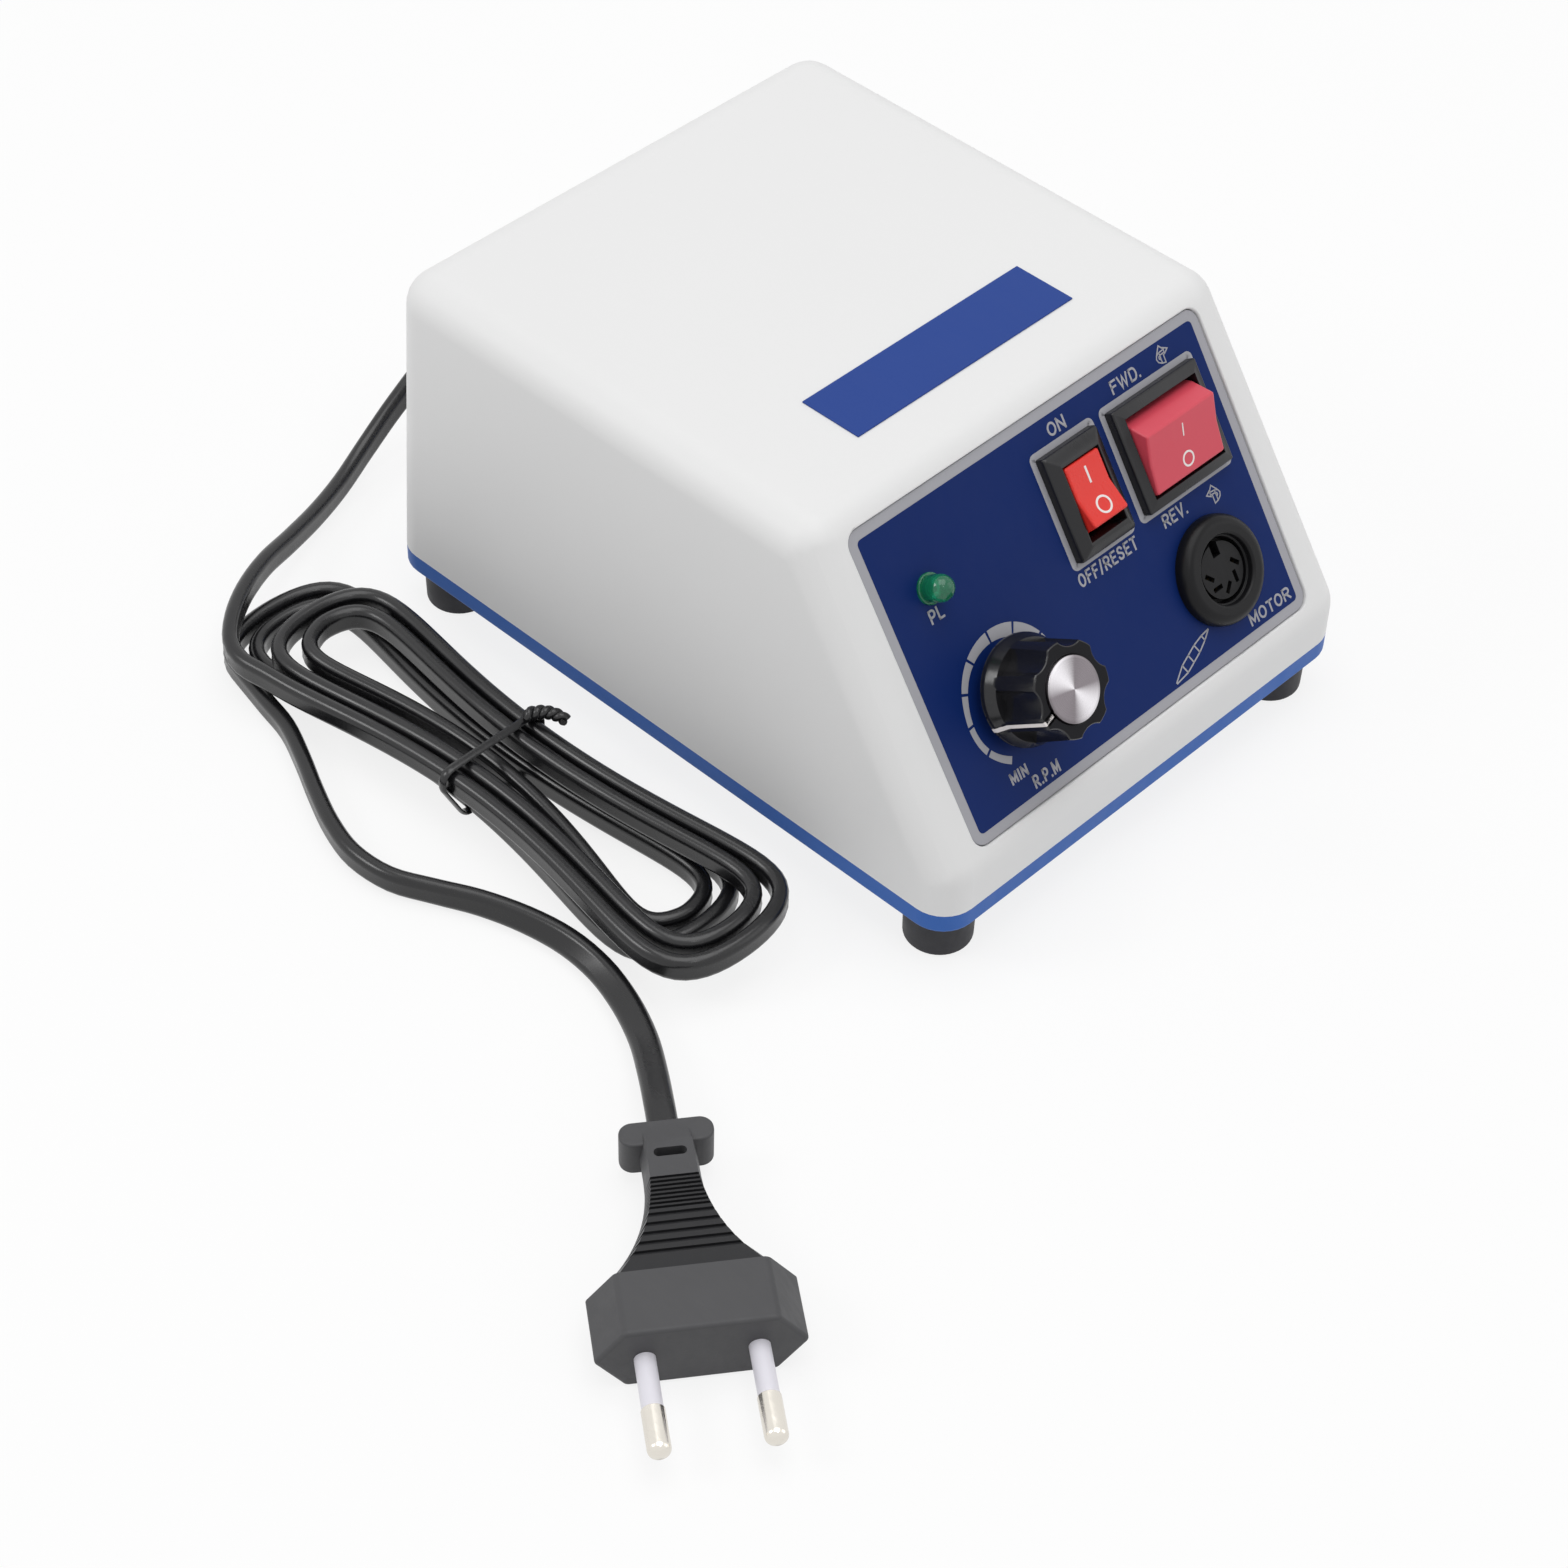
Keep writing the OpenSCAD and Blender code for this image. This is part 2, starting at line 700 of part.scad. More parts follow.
module front_panel() {
    color("midnightblue") difference() {
        on_panel(0, panel_l / 2 - panel_drop) translate([0, 0, -panel_t])
            rounded_plate(panel_w, panel_l, panel_t, panel_corner);
        panel_cuts(wall + over);
    }
}
module top_label() {
    color("royalblue") in_case() box_at([label_w, label_d, label_t], [0, label_y, case_h]);
}

// Rocker switches
module bezel(w, l, h) {
    module slant(size) {
        polygon([
            [-size / 2, 0], [-size / 2, bezel_edge], [-size / 2 + bezel_run, h],
            [size / 2 - bezel_run, h], [size / 2, bezel_edge], [size / 2, 0]
        ]);
    }
    intersection() {
        translate([-w / 2, 0, 0]) along_x() linear_extrude(w) slant(l);
        translate([0, l / 2, 0]) rotate([90, 0, 0]) linear_extrude(l) slant(w);
    }
}
module switch_body(bezel_size, bezel_h, body, open) {
    pin_span = open[0] + 2 * (pivot_reach - rocker_gap) + 0.2;
    difference() {
        union() {
            bezel(bezel_size[0], bezel_size[1], bezel_h);
            box_at([body[0], body[1], body_d + bezel_h / 4], [0, 0, -body_d]);
        }
        box_at([open[0], open[1], opening_d + bezel_h + over], [0, 0, -opening_d]);
        translate([-pin_span / 2, 0, -pivot_depth]) along_x()
            cylinder(r = pivot_r + pivot_play, h = pin_span);
    }
}
module rocker(profile, dip, w) {
    mirrored = [for (i = [len(profile) - 1:-1:0]) [-profile[i][0], profile[i][1]]];
    outline = concat([[0, dip]], profile, mirrored);
    translate([-w / 2, 0, 0]) along_x() linear_extrude(w) polygon(outline);
    translate([-w / 2 - pivot_reach, 0, 0]) along_x() cylinder(r = pivot_r, h = w + 2 * pivot_reach);
}
module blades(places) {
    for (p = places) box_at([blade_w, blade_t, blade_l], [p[0], p[1], -body_d - blade_l]);
}
module power_switch_body() {
    color("black") on_panel(power_u, power_v)
        switch_body([power_bezel_w, power_bezel_l], power_bezel_h, power_body, power_open);
}
module power_rocker() {
    color("orangered") on_panel(power_u, power_v) translate([0, 0, -pivot_depth])
        rotate([-power_tilt, 0, 0]) rocker(power_profile, power_dip, power_rocker_w);
}
module power_switch_terminals() {
    color("silver") on_panel(power_u, power_v) blades(power_blades);
}
module direction_switch_body() {
    color("black") on_panel(direction_u, direction_v)
        switch_body(
            [direction_bezel_w, direction_bezel_l], direction_bezel_h, direction_body, direction_open);
}
module direction_rocker() {
    color("crimson") on_panel(direction_u, direction_v) translate([0, 0, -pivot_depth])
        rotate([direction_tilt, 0, 0]) rocker(direction_profile, direction_dip, direction_rocker_w);
}
module direction_switch_terminals() {
    color("silver") on_panel(direction_u, direction_v) blades(direction_blades);
}

// Pilot lamp
module pilot_lamp() {
    color("limegreen") on_panel(lamp_u, lamp_v) {
        translate([0, 0, -behind]) cylinder(r = lamp_r, h = behind + lamp_rise - lamp_r);
        translate([0, 0, lamp_rise - lamp_r]) sphere(lamp_r);
        translate([0, 0, -behind - lamp_flange_t]) cylinder(r = lamp_r + lamp_flange, h = lamp_flange_t);
    }
}
module pilot_lamp_leads() {
    color("silver") on_panel(lamp_u, lamp_v) for (x = [-1, 1])
        box_at([lead_t, lead_t, lead_l], [x * lead_pitch / 2, 0, -behind - lamp_flange_t - lead_l]);
}

// Speed knob and potentiometer
pointer_line = [
    [cap_r + 0.2, knob_h], [grip_top_r, knob_h], [grip_r, skirt_top],
    [skirt_r, knob_gap + skirt_h], [skirt_r, knob_gap]
];
module pointer_band(w, past = 0) {
    outer = [for (i = [0:4]) pointer_line[i] + past * [i == 0 ? 0 : 1, i < 2 ? 1 : i == 4 ? -1 : 0]];
    inner = [
        for (i = [4:-1:0])
            pointer_line[i] - [i == 0 ? 0 : pointer_d, i < 2 ? pointer_d : i == 4 ? past : 0]
    ];
    rotate([0, 0, pointer_at]) translate([0, w / 2, 0]) rotate([90, 0, 0]) linear_extrude(w)
        polygon(concat(outer, inner));
}
module grub_bore(r) {
    rotate([0, 0, pointer_at + 180]) translate([shaft_r + fit_gap, 0, grub_h]) rotate([0, 90, 0])
        cylinder(r = r, h = skirt_r);
}
module speed_knob() {
    color("black") on_panel(knob_u, knob_v) difference() {
        rotate_extrude() polygon([
            [0, knob_gap], [skirt_r, knob_gap], [skirt_r, knob_gap + skirt_h], [grip_r, skirt_top],
            [grip_top_r, knob_h], [0, knob_h]
        ]);
        for (i = [0:lobes - 1]) rotate([0, 0, pointer_at + (i + 0.5) * 360 / lobes])
            translate([flute_floor + flute_r, 0, skirt_top - flute_sink]) cylinder(r = flute_r, h = knob_h);
        cylinder(r = knob_well_r, h = knob_well_top);
        cylinder(r = bush_r + fit_gap, h = bush_top);
        translate([0, 0, knob_h - cap_seat]) cylinder(r = cap_r + fit_gap, h = over + cap_seat);
        grub_bore(grub_r + fit_gap);
        pointer_band(pointer_w + 2 * fit_gap, over);
    }
}
module knob_cap() {
    color("gainsboro") on_panel(knob_u, knob_v) translate([0, 0, knob_h - cap_seat])
        cylinder(r = cap_r, h = cap_t);
}
module knob_pointer() {
    color("white") on_panel(knob_u, knob_v) pointer_band(pointer_w);
}
module knob_bush() {
    color("goldenrod") on_panel(knob_u, knob_v) difference() {
        translate([0, 0, knob_well_top]) ring(bush_r, shaft_r + fit_gap, bush_top - knob_well_top);
        grub_bore(grub_r + fit_gap);
    }
}
module knob_grub_screw() {
    color("dimgray") on_panel(knob_u, knob_v) rotate([0, 0, pointer_at + 180])
        translate([shaft_r + fit_gap, 0, grub_h]) rotate([0, 90, 0]) cylinder(r = grub_r, h = 4);
}
module pot_shaft() {
    color("silver") on_panel(knob_u, knob_v) translate([0, 0, -shaft_foot])
        cylinder(r = shaft_r, h = shaft_foot + shaft_top);
}
module pot_bushing() {
    color("goldenrod") on_panel(knob_u, knob_v) translate([0, 0, -behind])
        ring(bushing_r, shaft_r + shaft_play, behind + bushing_rise);
}
module pot_body() {
    color("lightgray") on_panel(knob_u, knob_v) difference() {
        translate([0, 0, -behind - pot_d]) cylinder(r = pot_r, h = pot_d - fit_gap);
        translate([0, 0, -shaft_foot]) cylinder(r = shaft_r + shaft_play, h = shaft_foot);
    }
}
module pot_washer() {
    color("silver") on_panel(knob_u, knob_v) ring(nut_r + 0.8, bushing_r + fit_gap, washer_t);
}
module pot_nut() {
    color("silver") on_panel(knob_u, knob_v) translate([0, 0, washer_t]) difference() {
        cylinder(r = nut_r, h = nut_t, $fn = 6);
        translate([0, 0, -over]) cylinder(r = bushing_r + fit_gap, h = nut_t + 2 * over);
    }
}
module pot_terminals() {
    reach = pot_r + pot_blade[1];
    function blade_root(x) = sqrt(pow(pot_r, 2) - pow(max(0, abs(x) - pot_blade[0] / 2), 2));
    color("silver") on_panel(knob_u, knob_v) for (x = [-pot_blade_pitch, 0, pot_blade_pitch])
        translate([x - pot_blade[0] / 2, -reach, -behind - pot_d + 2])
            cube([pot_blade[0], reach - blade_root(x), pot_blade[2]]);
}

// Motor socket
module motor_socket() {
    shoulder = [for (a = [90:-15:0]) [collar_r, collar_h] + collar_round * [cos(a) - 1, sin(a) - 1]];
    color("black") on_panel(socket_u, socket_v) rotate_extrude() polygon(concat(
        [[socket_bore, insert_face], [socket_bore, collar_h - mouth], [socket_bore + mouth, collar_h]],
        shoulder,
        [[collar_r, 0], [barrel_r, 0], [barrel_r, -barrel_l]],
        [[insert_r + fit_gap, -barrel_l], [insert_r + fit_gap, insert_face]]
    ));
}
contact_angles = [180:45:360];
contact_places = [for (a = contact_angles) contact_ring * [cos(a), sin(a)]];
module socket_insert() {
    top = insert_t + insert_rise;
    color("dimgray") on_panel(socket_u, socket_v) translate([0, 0, -socket_sink - insert_t]) difference() {
        union() {
            cylinder(r = insert_r, h = insert_t);
            cylinder(r = insert_core_r, h = top);
        }
        for (p = contact_places) translate([p[0], p[1], -over]) cylinder(r = contact_hole_r, h = top);
        for (a = contact_angles) rotate([0, 0, a]) translate([contact_ring, 0, 0]) rotate([0, 0, slot_twist])
            box_at([slot_l, slot_w, slot_d + over], [0, 0, top - slot_d]);
        box_at([key_w, key_l + over, key_d + over], [0, insert_core_r - (key_l - over) / 2, top - key_d]);
    }
}
module socket_contacts() {
    color("gold") on_panel(socket_u, socket_v) for (p = contact_places)
        translate([p[0], p[1], -socket_sink - insert_t]) {
            cylinder(r = contact_r, h = insert_t + insert_rise - contact_drop);
            translate([0, 0, -contact_flange_t]) cylinder(r = contact_hole_r + 0.3, h = contact_flange_t);
            translate([0, 0, -contact_tail]) cylinder(r = contact_r, h = contact_tail);
        }
}
module socket_nut() {
    color("silver") on_panel(socket_u, socket_v)
        translate([0, 0, -behind - socket_nut_t - fit_gap]) difference() {
            cylinder(r = socket_nut_r, h = socket_nut_t, $fn = 6);
            translate([0, 0, -over]) cylinder(r = barrel_r + fit_gap, h = socket_nut_t + 2 * over);
        }
}

// Transformer
function strap_places() = [for (x = [-1, 1]) core_at + [x * (core_w / 2 + strap_t + strap_foot / 2), 0]];
module at_core() { in_case() translate([core_at[0], core_at[1], floor_z]) children(); }
module transformer_core() {
    color("slategray") at_core() difference() {
        box_at([core_w, core_t, core_h], [0, 0, 0]);
        for (x = [-1, 1])
            box_at([window_w, core_t + 2 * over, window_h], [x * (leg_w + window_w) / 2, 0, leg_w / 2]);
    }
}
module transformer_winding() {
    h = window_h - 2 * winding_gap;
    outside = [leg_w + 2 * window_w - 2 * winding_gap, core_t + 2 * window_w, h];
    inside = [leg_w + 2 * winding_gap, core_t + 2 * winding_gap, h + 2 * over];
    color("peru") at_core() difference() {
        box_at(outside, [0, 0, leg_w / 2 + winding_gap]);
        box_at(inside, [0, 0, leg_w / 2 - over]);
    }
}
module transformer_bracket() {
    half = core_w / 2;
    color("silver") at_core() difference() {
        translate([0, strap_w / 2, 0]) rotate([90, 0, 0]) linear_extrude(strap_w) polygon([
            [-half - strap_t - strap_foot, 0], [-half, 0], [-half, core_h], [half, core_h], [half, 0],
            [half + strap_t + strap_foot, 0], [half + strap_t + strap_foot, strap_t],
            [half + strap_t, strap_t], [half + strap_t, core_h + strap_t],
            [-half - strap_t, core_h + strap_t], [-half - strap_t, strap_t],
            [-half - strap_t - strap_foot, strap_t]
        ]);
        for (x = [-1, 1]) translate([x * (half + strap_t + strap_foot / 2), 0, -over])
            cylinder(r = strap_screw_r + screw_gap, h = strap_t + 2 * over);
    }
}
module transformer_screws() {
    color("silver") in_case() for (p = strap_places()) translate([p[0], p[1], floor_z + strap_t])
        rotate([180, 0, 0]) screw(strap_screw_r, strap_t + tray_floor, strap_head[0], strap_head[1]);
}

// Control board
module control_board() {
    color("darkgreen") in_case() difference() {
        box_at([board_w, board_d, board_t], [board_at[0], board_at[1], board_z]);
        for (p = board_places) translate([p[0], p[1], board_z - over])
            cylinder(r = board_screw_r + screw_gap, h = board_t + 2 * over);
    }
}
module board_standoffs() {
    color("goldenrod") in_case() for (p = board_places) translate([p[0], p[1], floor_z])
        ring(standoff_r, board_screw_r + screw_gap, standoff_h);
}
module board_screws() {
    color("silver") in_case() for (p = board_places) translate([p[0], p[1], parts_z])
        rotate([180, 0, 0])
            screw(board_screw_r, board_t + standoff_h + tray_floor, board_head[0], board_head[1]);
}
module filter_capacitor() {
    color("navy") in_case() translate([capacitor_at[0], capacitor_at[1], parts_z]) {
        cylinder(r = capacitor_r, h = capacitor_h - can_edge);
        translate([0, 0, capacitor_h - can_edge])
            cylinder(r1 = capacitor_r, r2 = capacitor_r - can_edge, h = can_edge);
    }
}
module bridge_rectifier() {
    color("black") in_case() difference() {
        box_at(bridge_size, [bridge_at[0], bridge_at[1], parts_z]);
        translate([bridge_at[0] - bridge_size[0] / 2, bridge_at[1], parts_z + bridge_size[2]])
            rotate([0, 45, 0]) cube([3, bridge_size[1] + over, 3], center = true);
    }
}
module heat_sink() {
    color("dimgray") in_case() {
        box_at(sink_size, [sink_at[0], sink_at[1], parts_z]);
        for (i = [0:sink_fins - 1])
            box_at([sink_fin[0], sink_fin[1], sink_size[2]], [
                sink_at[0] + (i / (sink_fins - 1) - 0.5) * (sink_size[0] - sink_fin[0]),
                sink_at[1] + (sink_size[1] + sink_fin[1]) / 2, parts_z
            ]);
    }
}
module power_transistor() {
    at = [sink_at[0], sink_at[1] - (sink_size[1] + transistor_size[1]) / 2, parts_z + transistor_rise];
    color("black") in_case() {
        box_at(transistor_size, at);
        for (i = [-1:1]) box_at(
            [transistor_leg[0], transistor_leg[1], transistor_rise],
            [at[0] + i * transistor_leg_pitch, at[1], parts_z]
        );
    }
}
module fuse() {
    color("lightcyan") in_case() translate([fuse_at[0] - fuse_l / 2, fuse_at[1], parts_z + fuse_rise])
        along_x() cylinder(r = fuse_r, h = fuse_l);
}
module fuse_clips() {
    color("silver") in_case() for (x = [-1, 1]) difference() {
        box_at(
            [clip_w, 2 * fuse_r + 2 * clip_t, fuse_rise + clip_rise],
            [fuse_at[0] + x * (fuse_l / 2 - clip_inset), fuse_at[1], parts_z]
        );
        translate([fuse_at[0] - fuse_l, fuse_at[1], parts_z + fuse_rise])
            along_x() cylinder(r = fuse_r + fit_gap, h = 2 * fuse_l);
        box_at([2 * fuse_l, 1.6 * fuse_r, fuse_rise], [fuse_at[0], fuse_at[1], parts_z + fuse_rise]);
    }
}
module terminal_block() {
    color("seagreen") in_case() difference() {
        box_at(block_size, [block_at[0], block_at[1], parts_z]);
        for (i = [0:block_ways - 1])
            translate([
                block_at[0] + (i + 0.5 - block_ways / 2) * block_size[0] / block_ways, block_at[1],
                parts_z + block_size[2] - block_hole[1]
            ]) cylinder(r = block_hole[0], h = block_hole[1] + over);
    }
}

// Cord gland: a ribbed boot that bends to the left with the cord
module on_bend(a) {
    translate([0, 0, gland_flange_t + gland_stub]) translate([-gland_bend_r, 0, 0]) rotate([0, -a, 0])
        translate([gland_bend_r, 0, 0]) children();
}
module cord_gland() {
    color("black") on_gland() {
        translate([0, 0, -wall - 2]) cylinder(r = gland_r, h = wall + 2);
        cylinder(r = gland_flange_r, h = gland_flange_t);
        cylinder(r = gland_rib_r, h = gland_flange_t + gland_stub);
        translate([-gland_bend_r, 0, gland_flange_t + gland_stub]) rotate([90, 0, 0])
            rotate_extrude(angle = gland_bend) translate([gland_bend_r, 0]) circle(gland_core_r);
        for (i = [1:gland_ribs]) on_bend(gland_bend * i / gland_ribs) translate([0, 0, -gland_rib_t])
            cylinder(r = gland_rib_r - gland_rib_taper * i / gland_ribs, h = gland_rib_t);
    }
}

// Cord: a flat section swept along a route, standing on its edge, or rolled by an angle
function unit(v) = v / norm(v);
function heading(p, i) = unit(p[min(i + 1, len(p) - 1)] - p[max(i - 1, 0)]);
six_sided = [[0, 1], [1, 0.5], [1, -0.5], [0, -1], [-1, -0.5], [-1, 0.5]];
eight_sided = [[0.5, 1], [1, 0.6], [1, -0.6], [0.5, -1], [-0.5, -1], [-1, -0.6], [-1, 0.6], [-0.5, 1]];
function section(sides) =
    [for (a = sides == 6 ? six_sided : eight_sided) [a[0] * cord_t / 2, a[1] * cord_w / 2]];
function ring_points(p, i, sides, roll) =
    let (d = heading(p, i), side = unit(cross(d, [0, 0, 1])), up = cross(side, d))
    [for (s = section(sides))
        p[i] + side * (s[0] * cos(roll) - s[1] * sin(roll)) + up * (s[0] * sin(roll) + s[1] * cos(roll))];
module cord_tube(route, sides, rolls) {
    n = len(route);
    points = [for (i = [0:n - 1]) each ring_points(route, i, sides, rolls[i])];
    walls = [for (i = [0:n - 2], s = [0:sides - 1])
        let (a = i * sides + s, b = i * sides + (s + 1) % sides)
        each [[a, a + sides, b], [b, a + sides, b + sides]]];
    end = (n - 1) * sides;
    caps = [for (s = [1:sides - 2]) each [[0, s, s + 1], [end, end + s + 1, end + s]]];
    polyhedron(points, concat(walls, caps), convexity = 10);
}
function smooth(t) = let (c = min(1, max(0, t))) c * c * (3 - 2 * c);
// The hank's centre line: loops step in from both ends and change layer along one run
function hank_point(a) =
    let (
        t = min(1, max(0, (a - climb_from) / (climb_to - climb_from))),
        in = min(a - hank_from, climb_from + climb_to - hank_from - a) / 360 + 4 * climb_dodge * t * (1 - t),
        end_w = hank_end_w - hank_step * in,
        waist_w = hank_waist_w - hank_waist_step * in,
        half = hank_half - hank_step * in,
        down = smooth(t),
        s = sin(a),
        c = cos(a)
    ) [
        hank_mid[0] - s * (end_w * (1 + c * c) - (end_w - waist_w) * s * s),
        hank_mid[1] - hank_stagger + 2 * hank_stagger * down + half * c * (1 + hank_round * s * s),
        hank_low + hank_layer * (1 - down) + hank_lift * pow(s, 6)
    ];
hank_count = hank_loops * hank_rings;
function hank_line(count) = [for (i = [0:count]) hank_point(hank_from + (hank_to - hank_from) * i / count)];
hank_core = hank_line(hank_count);
hank_first = hank_core[0];
hank_last = hank_core[hank_count];
function hank_heading(a) = let (d = hank_point(a + 1) - hank_point(a - 1)) unit([d[0], d[1], 0]);
hank_in = hank_heading(hank_from);
hank_out = hank_heading(hank_to);
hank_start = hank_first - cord_w * hank_in;
hank_stop = hank_last + cord_w * hank_out;
hank_route = concat([hank_start], hank_core, [hank_stop]);
straight = 1.2 * cord_w;
lead_route = concat(lead_points, [hank_start - straight * hank_in, hank_start]);
tail_route = concat([hank_stop, hank_stop + straight * hank_out], tail_points);

// Least gap of the hank to itself, between points more than half a loop apart
function flat_gap(p, q) =
    let (h = norm([p[0] - q[0], p[1] - q[1]]) - cord_t, v = abs(p[2] - q[2]) - cord_w)
    h > 0 && v > 0 ? norm([h, v]) : max(h, v);
gap_line = hank_line(2 * hank_count);
hank_gap = min([
    for (i = [0:len(gap_line) - 1]) for (j = [i + hank_rings:len(gap_line) - 1])
        flat_gap(gap_line[i], gap_line[j])
]);
function route_length(p, i = 0) = i + 1 < len(p) ? norm(p[i + 1] - p[i]) + route_length(p, i + 1) : 0;
echo(hank_least_gap = hank_gap);
echo(lead = route_length(lead_route), hank = route_length(hank_route), tail = route_length(tail_route));

module cord_lead() {
    color("black") cord_tube(lead_route, 8, [for (p = lead_route) 0]);
}
module cord_hank() {
    color("black") cord_tube(hank_route, 6, [for (p = hank_route) 0]);
}
// The tail rolls a quarter turn, from its edge to flat, before the plug
module cord_tail() {
    n = len(tail_route);
    color("black") cord_tube(tail_route, 8, [for (i = [0:n - 1]) 90 * smooth((i - 7) / (n - 9))]);
}
module cord_tie() {
    half = hank_waist_w + cord_t / 2 + tie_gap + tie_shift;
    bottom = hank_low + hank_lift - cord_w / 2 - tie_gap;
    top = hank_low + hank_layer + hank_lift + cord_w / 2 + tie_gap;
    upper = hank_low + hank_layer + hank_lift;
    // On the outer side the lower layer lies one loop further in than the upper one
    corners = [
        [half, top] - [tie_r, tie_r], [-half, top] + [tie_r, -tie_r], [-half + tie_r, upper],
        [-half + hank_waist_step, bottom] + [tie_r, tie_r], [half, bottom] + [-tie_r, tie_r]
    ];
    module loop(grow) { linear_extrude(tie_w) hull() for (c = corners) translate(c) circle(tie_r + grow); }
    color("black") translate([hank_mid[0] + tie_shift, hank_mid[1] + tie_w / 2, 0]) {
        rotate([90, 0, 0]) difference() {
            loop(tie_t);
            translate([0, 0, -over]) scale([1, 1, 2]) loop(0);
        }
        translate([half - tie_r - tie_knot_r, -tie_w / 2, top + tie_t + tie_knot_r - 0.5])
            rotate([0, 78, -25]) cylinder(r = tie_knot_r, h = tie_knot_l);
    }
}

// Mains plug
module on_plug() { translate(plug_at) rotate([0, 0, plug_turn]) children(); }
module plug_face() {
    polygon([
        [-plug_w / 2, 0], [-plug_flat_w / 2, -plug_h / 2], [plug_flat_w / 2, -plug_h / 2],
        [plug_w / 2, 0], [plug_flat_w / 2, plug_h / 2], [-plug_flat_w / 2, plug_h / 2]
    ]);
}
// Six-sided sections along the neck, which share their corners with the next
module plug_neck() {
    n = len(neck_top);
    points = [
        for (p = neck_top) let (w = neck_flank(p[0]), t = neck_crown(p[0])) each [
            [p[0], w, 0], [p[0], t, p[1]], [p[0], -t, p[1]],
            [p[0], -w, 0], [p[0], -t, -p[1]], [p[0], t, -p[1]]
        ]
    ];
    walls = [
        for (i = [0:n - 2], k = [0:5]) let (a = 6 * i + k, b = 6 * i + (k + 1) % 6)
            each [[a, a + 6, b], [b, a + 6, b + 6]]
    ];
    end = 6 * (n - 1);
    caps = [for (k = [1:4]) each [[0, k, k + 1], [end, end + k + 1, end + k]]];
    polyhedron(points, concat(walls, caps), convexity = 6);
}
module plug_body() {
    color("dimgray") on_plug() difference() {
        union() {
            translate([plug_l - plug_block, 0, 0]) along_x() linear_extrude(plug_block) plug_face();
            plug_neck();
            translate([plug_collar[2] / 2, 0, -plug_collar[1] / 2])
                rounded_plate(plug_collar[2], plug_collar[0], plug_collar[1], plug_collar[2] / 2 - 0.2);
        }
        translate([plug_collar[2] + plug_neck_l / 2, 0, -plug_h])
            rounded_plate(plug_slot[0], plug_slot[1], 2 * plug_h, plug_slot[0] / 2 - 0.05);
        for (y = [-1, 1]) translate([plug_l, y * pin_pitch / 2, 0]) along_x() {
            translate([0, 0, -sleeve_seat]) cylinder(r = sleeve_r + fit_gap, h = sleeve_seat + over);
            translate([0, 0, -pin_seat]) cylinder(r = pin_core_r + fit_gap, h = pin_seat);
        }
    }
}
module plug_pin_sleeves() {
    color("white") on_plug() for (y = [-1, 1]) translate([plug_l, y * pin_pitch / 2, 0]) along_x()
        translate([0, 0, -sleeve_seat]) ring(sleeve_r, pin_core_r + fit_gap, sleeve_seat + sleeve_l);
}
module plug_pins() {
    color("silver") on_plug() for (y = [-1, 1]) translate([plug_l, y * pin_pitch / 2, 0]) along_x()
        rotate_extrude() polygon([
            [0, -pin_seat], [pin_core_r, -pin_seat], [pin_core_r, sleeve_l],
            [pin_r, sleeve_l], [pin_r, pin_l - tip_r],
            [pin_r - 0.4 * tip_r, pin_l - 0.4 * tip_r], [pin_r - tip_r, pin_l], [0, pin_l]
        ]);
}

upper_housing();
base_tray();
rubber_feet();
case_screws();
front_panel();
top_label();
power_switch_body();
power_rocker();
power_switch_terminals();
direction_switch_body();
direction_rocker();
direction_switch_terminals();
pilot_lamp();
pilot_lamp_leads();
speed_knob();
knob_cap();
knob_pointer();
knob_bush();
knob_grub_screw();
pot_shaft();
pot_bushing();
pot_body();
pot_nut();
pot_washer();
pot_terminals();
motor_socket();
socket_insert();
socket_contacts();
socket_nut();
transformer_core();
transformer_winding();
transformer_bracket();
transformer_screws();
control_board();
board_standoffs();
board_screws();
filter_capacitor();
bridge_rectifier();
power_transistor();
heat_sink();
fuse();
fuse_clips();
terminal_block();
cord_gland();
cord_lead();
cord_hank();
cord_tail();
cord_tie();
plug_body();
plug_pin_sleeves();
plug_pins();
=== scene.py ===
"""Finish of a dental lab micromotor's control unit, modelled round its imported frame."""

import json
import math
from contextlib import contextmanager

import bmesh
import bpy
from bpy.props import FloatProperty, FloatVectorProperty, IntProperty, PointerProperty
from mathutils import Matrix, Vector


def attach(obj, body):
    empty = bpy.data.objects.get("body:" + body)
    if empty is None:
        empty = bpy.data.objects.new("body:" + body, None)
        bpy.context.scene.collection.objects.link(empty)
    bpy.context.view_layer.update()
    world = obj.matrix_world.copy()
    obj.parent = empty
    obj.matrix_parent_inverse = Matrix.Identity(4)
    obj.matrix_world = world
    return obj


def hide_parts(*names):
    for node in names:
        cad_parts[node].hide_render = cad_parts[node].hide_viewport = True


bl_info = {
    "name": "Micromotor control unit",
    "version": (1, 0, 0),
    "blender": (4, 5, 0),
    "location": "View3D > Sidebar > Control unit",
    "description": "Models the case, panel, controls and mains cord of a bench control unit",
    "category": "Add Mesh",
}

